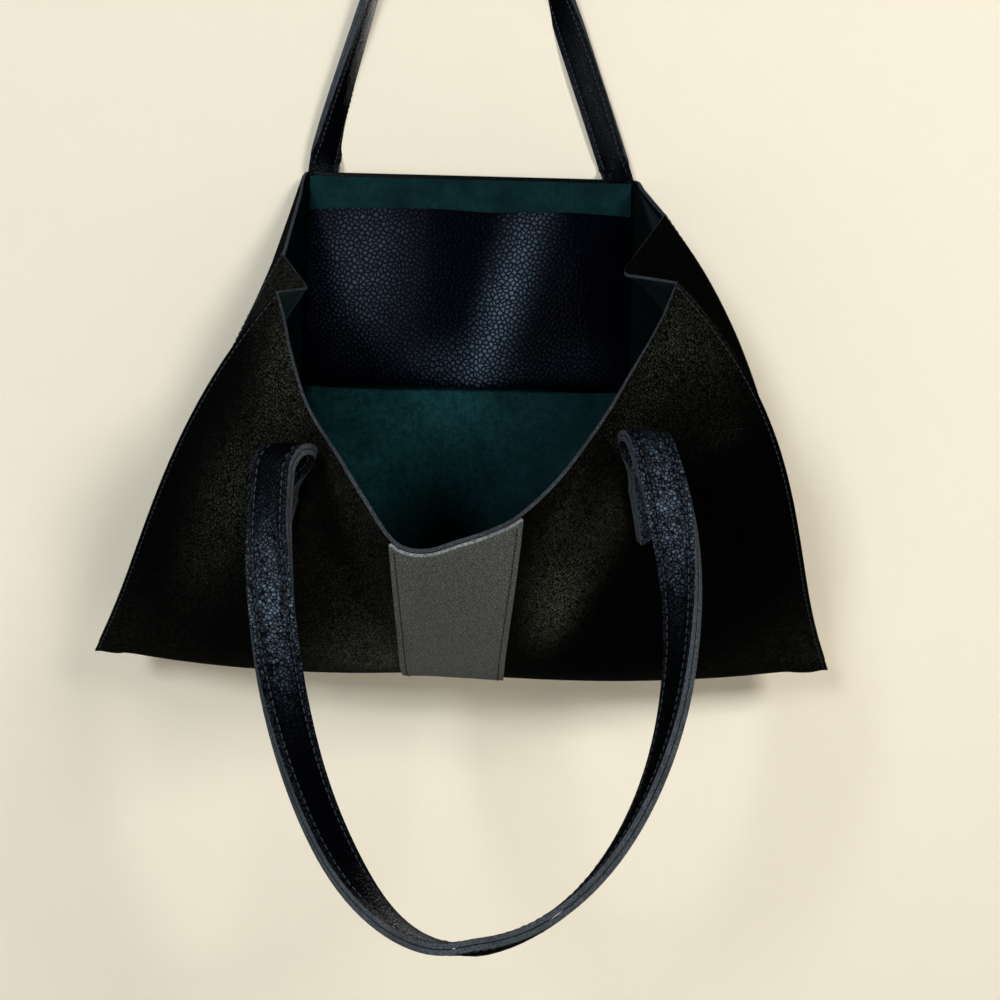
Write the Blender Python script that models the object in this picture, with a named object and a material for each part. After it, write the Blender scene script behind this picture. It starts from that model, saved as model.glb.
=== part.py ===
"""Leather tote bag hanging by its rear handle, mouth open, front handle folded down.

Metres, +Z up, the bag's front towards -Y. The origin is the place where the rear handle
rests on its hook: the middle of the strap's underside at the top of the loop.
"""

import math

import bpy
import numpy as np

# Leather and fits
LEATHER = 0.0018
PATCH_LEATHER = 0.0016
POCKET_LEATHER = 0.0013
STRAP_LAYER = 0.0024
STRAP_WIDTH = 0.020
CLEARANCE = 0.0003
SEAM_GAP = 0.0015
THREAD = 0.0008
STITCH_MARGIN = 0.0033

# Body panel, one piece from the rear rim under the base to the front rim
BODY_HEIGHT = 0.325
REAR_RIM_WIDTH = 0.220
REAR_FLAT_BASE_WIDTH = 0.400
BASE_BEND_HEIGHT = 0.028
BASE_DEPTH = 0.096
CORNER_REACH = 0.040
CORNER_FOLD = 0.006
CORNER_LIFT = 0.008
BEND_FULLNESS = 0.42

# How far the open mouth reaches from the rear panel at the middle of its front
MOUTH_REACH = 0.243

# Each side's ridges: half width, reach from the rear panel, and drop below the rear rim
LEFT = {
    "sign": -1,
    "corner": 0.226,
    "rear_ridge": (0.108, 0.072, 0.073),
    "apex": (0.085, 0.110, 0.100),
    "front_ridge": (0.090, 0.68 * MOUTH_REACH, 0.114),
    "rear_bow": 0.004,
    "front_bow": 0.012,
}
RIGHT = {
    "sign": 1,
    "corner": 0.233,
    "rear_ridge": (0.116, 0.088, 0.048),
    "apex": (0.088, 0.120, 0.090),
    "front_ridge": (0.111, 0.68 * MOUTH_REACH, 0.104),
    "rear_bow": 0.018,
    "front_bow": 0.021,
}
GUSSET_TUCK = 0.020
GUSSET_START = 0.03

# Front rim between its ridges: place across, share of the mouth's reach, drop below the rear rim
FRONT_RIM = (
    (-0.081, 0.749, 0.135),
    (-0.069, 0.823, 0.169),
    (-0.044, 0.914, 0.204),
    (-0.019, 0.988, 0.236),
    (0.004, 1.0, 0.235),
    (0.038, 0.963, 0.219),
    (0.070, 0.872, 0.180),
    (0.096, 0.774, 0.139),
)

# Centre patch on the front
PATCH_WIDTH = 0.060
PATCH_UNDERLAP_ROWS = 4

# Slip pocket, one piece folded up at the bottom and hung from the rear rim
POCKET_WIDTH = 0.214
POCKET_HEAD = 0.003
POCKET_MOUTH_DROP = 0.026
POCKET_DEPTH = 0.115
POCKET_OPEN = 0.0065

# Handles; the hook holds the rear one a little to the left of the bag's middle
HOOK_OFFSET = 0.0125
REAR_HANDLE_RISE = 0.265
REAR_HANDLE_JOINT_RISE = 0.006
HOOK_RADIUS = 0.020
LEFT_FOOT = (-0.0987, math.radians(5))
RIGHT_FOOT = (0.0972, math.radians(18))
FOOT_BEND = 0.025
LEG_STRAIGHT = 0.170
TAB_LENGTH = 0.036
TAB_END_DROP = 0.080
FRONT_TAB_SPREAD = 0.104
FRONT_TAB_END_DROP = 0.084
SEAT_GAP = 0.0004
LEFT_CROWN = (0.0117, -0.040, 0.0185)
RIGHT_CROWN = (-0.0077, -0.041, 0.0195)
LEFT_CROWN_TURN = math.radians(22)
RIGHT_CROWN_TURN = math.radians(12)
FOLD_RADIUS = 0.0085
FOLD_SPLAY = 0.002
NECK_RISE = 0.024
NECK_LIFT = 0.008
NECK_FOLD = 0.014
LOOP_DROP = 0.2284
LOOP_LEAN = 0.045
LOOP_BOTTOM_SHIFT = -0.0006
LEFT_BULGE = (0.0094, 0.094, 0.054)
RIGHT_BULGE = (0.040, 0.104, 0.077)

# The strap's turn about its own line, in degrees, at shares of the way from each end to the middle
# of its loop; the outer edge comes forward as it grows
LEFT_TURNS = (
    (0.0, -22), (0.14, -18), (0.20, -6), (0.27, 10), (0.33, 20), (0.40, 32), (0.53, 48), (0.675, 61),
    (0.75, 72), (0.87, 98), (1.0, 122),
)
RIGHT_TURNS = (
    (0.0, -12), (0.09, -5), (0.127, 3), (0.16, 16), (0.19, 31), (0.22, 41), (0.29, 54), (0.354, 64),
    (0.437, 72), (0.574, 86), (0.72, 98), (0.86, 110), (1.0, 122),
)
LEFT_LEG_TURNS = ((0.0, 0), (0.05, 40), (0.10, 52), (0.20, 68), (0.30, 84), (0.36, 90), (0.5, 90))
RIGHT_LEG_TURNS = ((0.0, 0), (0.03, 30), (0.07, 24), (0.20, 24), (0.28, 60), (0.36, 90), (0.5, 90))

# Mesh fineness
REAR_ROWS = 9
BASE_ROWS = 8
FRONT_ROWS = 12
GUSSET_ROWS = 16
STRAP_STEPS = 22

# Worked out
STRAP_THICKNESS = 2 * STRAP_LAYER + CLEARANCE
RIM_Z = -REAR_HANDLE_RISE
REAR_FACE_Y = -(STRAP_THICKNESS / 2 + CLEARANCE)
REAR_MID_Y = REAR_FACE_Y - LEATHER / 2
BASE_Z = RIM_Z - BODY_HEIGHT
SWING_Y = REAR_FACE_Y - LEATHER - CLEARANCE
SWING_Z = RIM_Z + REAR_HANDLE_JOINT_RISE
SWING_AXIS = (0.0, SWING_Y, SWING_Z)
HOOK = (-HOOK_OFFSET, 0.0, 0.0)
STITCH_INSET = STRAP_WIDTH / 2 - STITCH_MARGIN
STRAP_LINES = (-STRAP_WIDTH / 2, -STITCH_INSET, STITCH_INSET, STRAP_WIDTH / 2)
HAIR = (-THREAD / 2, THREAD / 2)

BLACK = (0.013, 0.014, 0.014, 1.0)
GREY = (0.130, 0.137, 0.132, 1.0)
THREAD_BLACK = (0.010, 0.010, 0.012, 1.0)


def clear_scene():
    for obj in list(bpy.data.objects):
        bpy.data.objects.remove(obj, do_unlink=True)


def material(name, colour, roughness):
    made = bpy.data.materials.new(name)
    made.use_nodes = True
    shader = made.node_tree.nodes["Principled BSDF"]
    shader.inputs["Base Color"].default_value = colour
    shader.inputs["Roughness"].default_value = roughness
    shader.inputs["Metallic"].default_value = 0.0
    made.diffuse_color = colour
    return made


def add_object(name, points, faces, finish, origin=SWING_AXIS):
    """A mesh object with its origin at the given place; both are given from the middle of the bag."""
    local = [tuple(np.asarray(point) - np.asarray(origin)) for point in points]
    mesh = bpy.data.meshes.new(name)
    mesh.from_pydata(local, [], faces)
    mesh.update()
    mesh.materials.append(finish)
    mesh.shade_smooth()
    mesh.set_sharp_from_angle(angle=math.radians(40))
    obj = bpy.data.objects.new(name, mesh)
    obj.location = (origin[0] + HOOK_OFFSET, origin[1], origin[2])
    bpy.context.scene.collection.objects.link(obj)
    return obj


def unit(vector):
    vector = np.asarray(vector, float)
    return vector / np.linalg.norm(vector)


def lerp(a, b, t):
    return np.asarray(a, float) * (1 - t) + np.asarray(b, float) * t


def smoothstep(t):
    t = min(max(t, 0.0), 1.0)
    return t * t * (3 - 2 * t)


def cubic(p0, p1, p2, p3, t):
    s = 1 - t
    return s**3 * p0 + 3 * s * s * t * p1 + 3 * s * t * t * p2 + t**3 * p3


def through(points, steps):
    """A smooth curve through the points, as closely spaced places along it."""
    points = [np.asarray(point, float) for point in points]
    padded = [2 * points[0] - points[1]] + points + [2 * points[-1] - points[-2]]
    made = []
    for a, b, c, d in zip(padded, padded[1:], padded[2:], padded[3:]):
        for k in range(steps):
            t = k / steps
            made.append(
                0.5 * (2 * b + (c - a) * t + (2 * a - 5 * b + 4 * c - d) * t**2 + (3 * b - a - 3 * c + d) * t**3)
            )
    made.append(points[-1])
    return np.array(made)


def resample(path, places):
    """Points at the given distances along a path."""
    runs = np.concatenate([[0], np.cumsum(np.linalg.norm(np.diff(path, axis=0), axis=1))])
    return np.stack([np.interp(places, runs, path[:, axis]) for axis in range(3)], axis=1)


def length_of(path):
    return np.linalg.norm(np.diff(path, axis=0), axis=1).sum()


def grid_normals(grid):
    across = np.gradient(grid, axis=1)
    along = np.gradient(grid, axis=0)
    normals = np.cross(across, along)
    return normals / np.linalg.norm(normals, axis=2, keepdims=True)


def sheet_faces(rows, columns):
    """Faces of a closed sheet whose points are the front grid and then the back grid."""
    back = rows * columns
    faces = []
    for r in range(rows - 1):
        for c in range(columns - 1):
            a = r * columns + c
            for corner in ((a, a + 1, a + columns + 1), (a, a + columns + 1, a + columns)):
                faces.append(corner)
                faces.append(tuple(back + k for k in reversed(corner)))
    rim = [(0, c) for c in range(columns)]
    rim += [(r, columns - 1) for r in range(1, rows)]
    rim += [(rows - 1, c) for c in range(columns - 2, -1, -1)]
    rim += [(r, 0) for r in range(rows - 2, 0, -1)]
    ring = [r * columns + c for r, c in rim]
    for a, b in zip(ring, ring[1:] + ring[:1]):
        faces.append((b, a, back + a, back + b))
    return faces


def sheet_object(name, grid, thickness, finish, normals=None, origin=SWING_AXIS):
    """A leather sheet of even thickness about a grid of points, outward along the grid's normals."""
    if normals is None:
        normals = grid_normals(grid)
    front = grid + normals * thickness / 2
    back = grid - normals * thickness / 2
    rows, columns = grid.shape[:2]
    points = np.concatenate([front.reshape(-1, 3), back.reshape(-1, 3)])
    return add_object(name, points, sheet_faces(rows, columns), finish, origin)


def strip_object(name, path, sides, normals, places, thickness, lift, finish, origin=SWING_AXIS):
    """A flat strip along a path: places are its lines across, lift moves it off the path along the normals."""
    grid = np.stack([path + sides * place + normals * lift for place in places], axis=1)
    up = np.stack([normals] * len(places), axis=1)
    facing = np.cross(sides[0], path[1] - path[0])
    if np.dot(facing, normals[0]) < 0:
        grid = grid[:, ::-1]
    return sheet_object(name, grid, thickness, finish, up, origin)


def side_places(side):
    """A side's ridge and apex points at the rim, and its corner at the base."""
    def at(values):
        across, reach, drop = values
        return np.array([side["sign"] * across, REAR_MID_Y - reach, RIM_Z - drop])

    corner = np.array([side["sign"] * side["corner"], REAR_MID_Y - CORNER_REACH, BASE_Z + CORNER_LIFT])
    return at(side["rear_ridge"]), at(side["apex"]), at(side["front_ridge"]), corner


def seam(side, which, height):
    """The line where the body panel meets a gusset, from the base corner (0) to the rim (1)."""
    rear, _, front, corner = side_places(side)
    top, bow, shift = (rear, "rear_bow", 0.5) if which == "rear" else (front, "front_bow", -0.5)
    start = corner + np.array([0, shift * CORNER_FOLD, 0])
    point = lerp(start, top, height)
    return point + np.array([swelling(height) * side[bow] * side["sign"], 0, 0])


def swelling(height):
    """How far a side bows out, as a share of the most: none at the base and the rim, most at two thirds."""
    return 6.75 * height * height * (1 - height)


def columns_across():
    """Places across the base: flat columns between the creases, then the side columns as shares."""
    half_patch = PATCH_WIDTH / 2
    flat_half = REAR_FLAT_BASE_WIDTH / 2
    outer = [lerp(half_patch, flat_half, share) for share in (0.18, 0.38, 0.6, 0.82, 1.0)]
    flat = [0.0, half_patch / 2, half_patch] + [float(value) for value in outer]
    sides = (0.3, 0.6, 0.86, 1.0)
    return flat, sides


def rear_point(side, flat, share, height):
    """A place on the rear of the body panel, height from 0 at the base bend to 1 at the rim."""
    crease = lerp(REAR_FLAT_BASE_WIDTH / 2, REAR_RIM_WIDTH / 2, height)
    z = lerp(BASE_Z + BASE_BEND_HEIGHT, RIM_Z, height)
    sign = side["sign"]
    if share == 0:
        return np.array([sign * flat / (REAR_FLAT_BASE_WIDTH / 2) * crease, REAR_MID_Y, z])
    inner = np.array([sign * crease, REAR_MID_Y, z])
    return lerp(inner, seam(side, "rear", height), share)


def front_base_point(side, flat, share):
    """A place on the front of the base bend."""
    reach = CORNER_REACH + CORNER_FOLD / 2
    half = side["corner"]
    z = BASE_Z + BASE_BEND_HEIGHT * 0.6
    if share == 0:
        fall = 1 - (flat / half) ** 2
        return np.array([side["sign"] * flat, REAR_MID_Y - lerp(reach, BASE_DEPTH, fall), z])
    inner = front_base_point(side, REAR_FLAT_BASE_WIDTH / 2, 0)
    return lerp(inner, seam(side, "front", 0), share)


def front_rim_curve():
    left = side_places(LEFT)[2]
    right = side_places(RIGHT)[2]
    between = [np.array([x, REAR_MID_Y - share * MOUTH_REACH, RIM_Z - drop]) for x, share, drop in FRONT_RIM]
    return through([left] + between + [right], 8)


def front_rim_place(side, across, curve):
    """A place on the front rim, for a place across the base: even across the patch, then out to the ridge."""
    half = length_of(curve) / 2
    patch = PATCH_WIDTH / 2
    if across <= patch:
        run = across
    else:
        run = patch + (across - patch) * (half - patch) / (side["corner"] - patch)
    return resample(curve, [half + side["sign"] * run])[0]


def front_point(side, flat, share, height, curve):
    """A place on the front of the body panel, height from 0 at the base bend to 1 at the rim."""
    across = flat if share == 0 else lerp(REAR_FLAT_BASE_WIDTH / 2, side["corner"], share)
    base = front_base_point(side, flat, share)
    top = front_rim_place(side, float(across), curve)
    outward = (float(across) / side["corner"]) ** 2
    swell = swelling(height) * side["front_bow"] * side["sign"] * outward
    return lerp(base, top, height) + np.array([swell, 0, 0])


def body_column(side, flat, share, curve):
    """One line of the body panel, from the rear rim down, round the base and up to the front rim."""
    rear = [rear_point(side, flat, share, 1 - k / REAR_ROWS) for k in range(REAR_ROWS + 1)]
    front = [front_point(side, flat, share, k / FRONT_ROWS, curve) for k in range(FRONT_ROWS + 1)]
    down = unit(rear[-1] - rear[-2])
    back = unit(front[0] - front[1])
    reach = np.linalg.norm(front[0] - rear[-1]) * BEND_FULLNESS
    bend = []
    for k in range(1, BASE_ROWS):
        bend.append(cubic(rear[-1], rear[-1] + down * reach, front[0] + back * reach, front[0], k / BASE_ROWS))
    return rear + bend + front


def body_grid():
    """Rows run from the rear rim to the front rim, columns from right to left as seen from the front."""
    flat, sides = columns_across()
    curve = front_rim_curve()
    right = [body_column(RIGHT, value, 0, curve) for value in flat]
    right += [body_column(RIGHT, 0, share, curve) for share in sides]
    left = [body_column(LEFT, value, 0, curve) for value in flat[1:]]
    left += [body_column(LEFT, 0, share, curve) for share in sides]
    return np.array(left[::-1] + right).transpose(1, 0, 2)


def gusset_grid(side):
    """A folded gusset: rows from near the base corner up to the rim, columns from rear seam to front seam."""
    _, apex, _, corner = side_places(side)
    rows = []
    for k in range(GUSSET_ROWS + 1):
        height = lerp(GUSSET_START, 1.0, k / GUSSET_ROWS)
        rear = seam(side, "rear", height)
        front = seam(side, "front", height)
        tuck = side["sign"] * GUSSET_TUCK * smoothstep(height * 1.6)
        middle = lerp((rear + front) / 2 - np.array([tuck, 0, 0]), apex, height**3)
        first = rear + unit(middle - rear) * SEAM_GAP
        last = front + unit(middle - front) * SEAM_GAP
        row = [lerp(first, middle, t) for t in (0, 0.33, 0.66, 0.9)]
        row += [lerp(middle, last, t) for t in (0.1, 0.34, 0.67, 1.0)]
        rows.append(row)
    return np.array(rows)


def offset_rows(grid, normals, rows, columns, lift):
    part = grid[rows, columns]
    return part + normals[rows, columns] * lift, normals[rows, columns]


def surface_at(grid, normals, row, column):
    """A place and normal between the points of a grid."""
    r = min(int(row), grid.shape[0] - 2)
    c = min(int(column), grid.shape[1] - 2)
    u, v = row - r, column - c
    point = lerp(lerp(grid[r, c], grid[r, c + 1], v), lerp(grid[r + 1, c], grid[r + 1, c + 1], v), u)
    normal = lerp(lerp(normals[r, c], normals[r, c + 1], v), lerp(normals[r + 1, c], normals[r + 1, c + 1], v), u)
    return point, unit(normal)


def make_body(finish):
    grid = body_grid()
    normals = grid_normals(grid)
    sheet_object("body_panel", grid, LEATHER, finish, normals)
    return grid, normals


def make_patch(grid, normals, finish, thread):
    """The centre patch lies on the front and turns under the base; a row of stitches runs inside each edge."""
    middle = grid.shape[1] // 2
    first = REAR_ROWS + BASE_ROWS - PATCH_UNDERLAP_ROWS
    rows = slice(first, grid.shape[0])
    lift = LEATHER / 2 + CLEARANCE + PATCH_LEATHER / 2
    patch, facing = offset_rows(grid, normals, rows, slice(middle - 2, middle + 3), lift)
    sheet_object("centre_patch", patch, PATCH_LEATHER, finish, facing)
    over = PATCH_LEATHER / 2 + CLEARANCE + THREAD / 2
    for name, column, inward in (("patch_left_stitches", 0, 1), ("patch_right_stitches", -1, -1)):
        edge = patch[1:-1, column]
        beside = patch[1:-1, column + inward]
        sides = np.array([unit(b - a) for a, b in zip(edge, beside)])
        path = edge + sides * STITCH_MARGIN
        strip_object(name, path, sides, facing[1:-1, column], HAIR, THREAD, over, thread)


def make_gussets(finish, thread):
    for word, side in (("left", LEFT), ("right", RIGHT)):
        grid = gusset_grid(side)
        if side["sign"] > 0:
            grid = grid[:, ::-1]
        normals = grid_normals(grid)
        sheet_object(word + "_gusset", grid, LEATHER, finish, normals)


def make_seam_stitches(grid, normals, thread):
    """A row of stitches beside each gusset seam, on the outside of the body panel."""
    lift = LEATHER / 2 + CLEARANCE + THREAD / 2
    rear = slice(0, REAR_ROWS + 1)
    front = slice(REAR_ROWS + BASE_ROWS, grid.shape[0])
    for word, rows in (("rear", rear), ("front", front)):
        for edge_word, column, inward in (("left", 0, 1), ("right", -1, -1)):
            edge = grid[rows, column]
            beside = grid[rows, column + inward]
            sides = np.array([unit(b - a) for a, b in zip(edge, beside)])
            path = edge + sides * STITCH_MARGIN
            name = f"{edge_word}_{word}_seam_stitches"
            strip_object(name, path, sides, normals[rows, column], HAIR, THREAD, lift, thread)


def pocket_path():
    """The pocket's folded line in the middle: down the rear leaf, round the fold and up the front leaf."""
    top = RIM_Z - POCKET_HEAD
    fold = RIM_Z - POCKET_MOUTH_DROP - POCKET_DEPTH
    mouth = RIM_Z - POCKET_MOUTH_DROP
    return top, fold, mouth


def pocket_grid():
    top, fold, mouth = pocket_path()
    rear_y = REAR_FACE_Y - LEATHER - CLEARANCE - POCKET_LEATHER / 2
    least = POCKET_LEATHER + 2 * CLEARANCE
    rows = []
    half = POCKET_WIDTH / 2
    places = [half * k / 6 for k in range(-6, 7)]
    for z in np.linspace(top, fold + POCKET_OPEN, 7):
        rows.append([(x, rear_y, z) for x in places])
    for k in range(1, 6):
        angle = math.pi * k / 6
        row = []
        for x in places:
            gap = lerp(least, POCKET_OPEN + POCKET_LEATHER, 1 - (x / half) ** 4)
            y = rear_y - gap / 2 * (1 - math.cos(angle))
            row.append((x, y, fold + POCKET_OPEN - POCKET_OPEN * math.sin(angle)))
        rows.append(row)
    for z in np.linspace(fold + POCKET_OPEN, mouth, 7):
        row = []
        for x in places:
            gap = lerp(least, POCKET_OPEN + POCKET_LEATHER, 1 - (x / half) ** 4)
            row.append((x, rear_y - gap, z))
        rows.append(row)
    return np.array(rows, float)


def make_pocket(finish, thread):
    """The pocket's origin is on the line that it hangs from."""
    top, _, _ = pocket_path()
    rear_y = REAR_FACE_Y - LEATHER - CLEARANCE - POCKET_LEATHER / 2
    origin = (0.0, rear_y, top)
    grid = pocket_grid()
    normals = grid_normals(grid)
    if normals[0, 6, 1] < 0:
        normals = -normals
    grid = grid[:, ::-1]
    normals = grid_normals(grid)
    sheet_object("slip_pocket", grid, POCKET_LEATHER, finish, normals, origin)
    front = slice(grid.shape[0] - 7, grid.shape[0])
    lift = POCKET_LEATHER / 2 + CLEARANCE + THREAD / 2
    for name, column, inward in (("pocket_right_stitches", 0, 1), ("pocket_left_stitches", -1, -1)):
        edge = grid[front, column]
        beside = grid[front, column + inward]
        sides = np.array([unit(b - a) for a, b in zip(edge, beside)])
        path = edge + sides * STITCH_MARGIN
        strip_object(name, path, sides, normals[front, column], HAIR, THREAD, lift, thread, origin)


def strap_pair(name, path, sides, normals, finish, origin):
    """The strap's two layers, face and lining, laid back to back."""
    step = (STRAP_LAYER + CLEARANCE) / 2
    strip_object(name + "_face", path, sides, normals, STRAP_LINES, STRAP_LAYER, step, finish, origin)
    strip_object(name + "_lining", path, sides, normals, STRAP_LINES, STRAP_LAYER, -step, finish, origin)


def strap_stitches(name, path, sides, normals, thread, origin):
    """The strap's two rows of stitches, on its face."""
    lift = STRAP_THICKNESS / 2 + CLEARANCE + THREAD / 2
    for word, shift in (("left", -STITCH_INSET), ("right", STITCH_INSET)):
        places = [shift + place for place in HAIR]
        strip_object(f"{name}_{word}_stitches", path, sides, normals, places, THREAD, lift, thread, origin)


def turned(sides, normals, angles):
    """Frames turned about the path by the angles."""
    c = np.cos(angles)[:, None]
    s = np.sin(angles)[:, None]
    return sides * c + normals * s, normals * c - sides * s


def turn_at(turns, share):
    """The strap's turn at a share of its way, on a smooth curve through the given turns."""
    curve = through([(place, math.radians(angle)) for place, angle in turns], 6)
    return float(np.interp(share, curve[:, 0], curve[:, 1]))


def rear_handle_path():
    """The rear handle's loop, from its left joint up over the hook and down to its right joint."""
    start = RIM_Z + REAR_HANDLE_JOINT_RISE
    radius = HOOK_RADIUS + STRAP_THICKNESS / 2
    legs = []
    leans = []
    for sign, (across, tab_lean) in ((-1, LEFT_FOOT), (1, RIGHT_FOOT)):
        foot = np.array([across, 0, start])
        lean = math.atan2(sign * (foot[0] + HOOK_OFFSET) - radius, -HOOK_RADIUS - start)
        touch = np.array([sign * radius * math.cos(lean) - HOOK_OFFSET, 0, radius * math.sin(lean) - HOOK_RADIUS])
        first = foot + np.array([-sign * math.tan(tab_lean), 0, 1.0]) * FOOT_BEND
        last = touch - np.array([-sign * math.sin(lean), 0, math.cos(lean)]) * LEG_STRAIGHT
        legs.append([cubic(foot, first, last, touch, k / STRAP_STEPS) for k in range(STRAP_STEPS + 1)])
        leans.append(lean)
    over = []
    for k in range(1, 12):
        angle = lerp(math.pi - leans[0], leans[1], k / 12)
        over.append(np.array([radius * math.cos(angle) - HOOK_OFFSET, 0, radius * math.sin(angle) - HOOK_RADIUS]))
    return np.array(legs[0] + over + legs[1][::-1])


def make_rear_handle(finish, thread):
    """The strap stands flat at the rim, and its outer edge comes forward until it lies on the hook."""
    path = rear_handle_path()
    tangents = np.gradient(path, axis=0)
    tangents[0] = (0, 0, 1.0)
    tangents[-1] = (0, 0, -1.0)
    tangents /= np.linalg.norm(tangents, axis=1, keepdims=True)
    facing = np.array([[0.0, -1.0, 0.0]] * len(path))
    sides = np.cross(tangents, facing)
    shares = np.linspace(0, 1, len(path))
    angles = [turn_at(LEFT_LEG_TURNS, s) if s < 0.5 else turn_at(RIGHT_LEG_TURNS, 1 - s) for s in shares]
    sides, normals = turned(sides, facing, -np.array(angles))
    strap_pair("rear_handle", path, sides, normals, finish, HOOK)
    strap_stitches("rear_handle", path, sides, normals, thread, HOOK)


def make_rear_tabs(finish, thread):
    """The rear handle's sewn ends, flat on the outside of the rear panel."""
    low = RIM_Z - TAB_END_DROP
    high = RIM_Z + REAR_HANDLE_JOINT_RISE - CLEARANCE
    for word, sign, (across, lean) in (("left", -1, LEFT_FOOT), ("right", 1, RIGHT_FOOT)):
        heights = [low, low + STITCH_MARGIN, low + TAB_LENGTH - STITCH_MARGIN, low + TAB_LENGTH, high]
        path = np.array([[across + sign * (SWING_Z - z) * math.tan(lean), 0, z] for z in heights])
        sides = np.array([[1.0, 0, 0]] * 5)
        normals = np.array([[0, 1.0, 0]] * 5)
        strap_pair(f"rear_{word}_tab", path, sides, normals, finish, SWING_AXIS)
        tab_stitches(f"rear_{word}_tab_stitches", path[1:3], sides[1:3], normals[1:3], thread)


def tab_stitches(name, path, sides, normals, thread):
    """A box of stitches round the sewn length of a tab, as one closed frame."""
    lift = STRAP_THICKNESS / 2 + CLEARANCE + THREAD / 2
    along = unit(path[-1] - path[0])
    outer = []
    inner = []
    facing = []
    for sign, order in ((-1, 1), (1, -1)):
        line = path[::order] + sides[::order] * sign * STITCH_INSET
        inside = path[::order] + sides[::order] * sign * (STITCH_INSET - THREAD)
        inside[0] = inside[0] + along * order * THREAD
        inside[-1] = inside[-1] - along * order * THREAD
        outer += list(line)
        inner += list(inside)
        facing += list(normals[::order])
    points = []
    for level in (lift + THREAD / 2, lift - THREAD / 2):
        points += [p + n * level for p, n in zip(outer, facing)]
        points += [p + n * level for p, n in zip(inner, facing)]
    count = len(outer)
    faces = []
    for k in range(count):
        n = (k + 1) % count
        faces.append((k, n, count + n, count + k))
        faces.append((2 * count + k, 3 * count + k, 3 * count + n, 2 * count + n))
        faces.append((k, 2 * count + k, 2 * count + n, n))
        faces.append((count + k, count + n, 3 * count + n, 3 * count + k))
    if np.dot(np.cross(sides[0], along), normals[0]) > 0:
        faces = [face[::-1] for face in faces]
    add_object(name, points, faces, thread)


def column_at(grid, row, sign, run):
    """The fractional column at a distance from the middle, measured along a row of the grid."""
    middle = grid.shape[1] // 2
    line = grid[row, middle:] if sign > 0 else grid[row, middle::-1]
    runs = np.concatenate([[0], np.cumsum(np.linalg.norm(np.diff(line, axis=0), axis=1))])
    return middle + sign * float(np.interp(run, runs, np.arange(len(runs))))


def crown_forward(sign):
    """The way the strap points at the crown of a fold: forward, and a little outward."""
    turn = LEFT_CROWN_TURN if sign < 0 else RIGHT_CROWN_TURN
    return np.array([sign * math.sin(turn), -math.cos(turn), 0])


def front_tab_path(grid, normals, sign):
    """The strap's line from its sewn end up to the crown of its fold, with its sides and normals."""
    column = column_at(grid, grid.shape[0] - 1, sign, FRONT_TAB_SPREAD)
    places = []
    for row in np.linspace(REAR_ROWS + BASE_ROWS, grid.shape[0] - 1, 60):
        point, normal = surface_at(grid, normals, row, column)
        left, _ = surface_at(grid, normals, row, column - 0.3)
        right, _ = surface_at(grid, normals, row, column + 0.3)
        places.append(np.concatenate([point, normal, unit(left - right)]))
    places = np.array(places)
    runs = np.concatenate([[0], np.cumsum(np.linalg.norm(np.diff(places[:, :3], axis=0), axis=1))])
    low = runs[-1] - FRONT_TAB_END_DROP
    lift = LEATHER / 2 + CLEARANCE + STRAP_THICKNESS / 2 + SEAT_GAP
    path = []
    sides = []
    steps = (0.0, STITCH_MARGIN, TAB_LENGTH * 0.37, TAB_LENGTH * 0.64, TAB_LENGTH - STITCH_MARGIN, TAB_LENGTH)
    for step in steps:
        values = [np.interp(low + step, runs, places[:, k]) for k in range(9)]
        path.append(np.array(values[:3]) + unit(values[3:6]) * lift)
        sides.append(unit(values[6:]))
    leave = path[-1]
    along = unit(leave - path[-2])
    forward = crown_forward(sign)
    crown = leave + np.array(LEFT_CROWN if sign < 0 else RIGHT_CROWN)
    rise = leave + along * NECK_RISE + np.cross(along, sides[5]) * NECK_LIFT
    for k in range(1, 13):
        path.append(cubic(leave, rise, crown - forward * NECK_FOLD, crown, k / 12))
        sides.append(lerp(sides[5], np.cross(forward, (0, 0, 1.0)), smoothstep((k - 2) / 9)))
    path = np.array(path)
    tangents = np.gradient(path, axis=0)
    tangents[-1] = forward
    tangents /= np.linalg.norm(tangents, axis=1, keepdims=True)
    sides = np.array([unit(side - tangent * np.dot(side, tangent)) for side, tangent in zip(sides, tangents)])
    return path, sides, np.cross(tangents, sides)


def front_loop_path(left, right):
    """The hanging loop's line, from the left fold's crown to the right one, in two swept halves."""
    low_z = (left[2] + right[2]) / 2 - LOOP_DROP
    hang_y = (left[1] + right[1]) / 2 - FOLD_RADIUS
    middle = (left[0] + right[0]) / 2 + LOOP_BOTTOM_SHIFT
    bottom = np.array([middle, hang_y + LOOP_LEAN * LOOP_DROP, low_z])
    halves = []
    for crown, sign, (bulge, fullness, flatness) in ((left, -1, LEFT_BULGE), (right, 1, RIGHT_BULGE)):
        forward = crown_forward(sign)
        fold = []
        for k in range(1, 5):
            angle = math.pi / 2 * k / 4
            drop = FOLD_RADIUS * (1 - math.cos(angle))
            splay = sign * FOLD_SPLAY * (k / 4) ** 2
            fold.append(crown + forward * FOLD_RADIUS * math.sin(angle) + np.array([splay, 0, -drop]))
        hang = fold[-1]
        first = hang + np.array([sign * bulge, LOOP_LEAN * fullness, -fullness])
        last = bottom + np.array([sign * flatness, 0, 0])
        swept = [cubic(hang, first, last, bottom, k / STRAP_STEPS) for k in range(1, STRAP_STEPS + 1)]
        start = crown + forward * CLEARANCE
        halves.append([start] + fold + swept)
    return np.array(halves[0] + halves[1][-2::-1])


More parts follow.
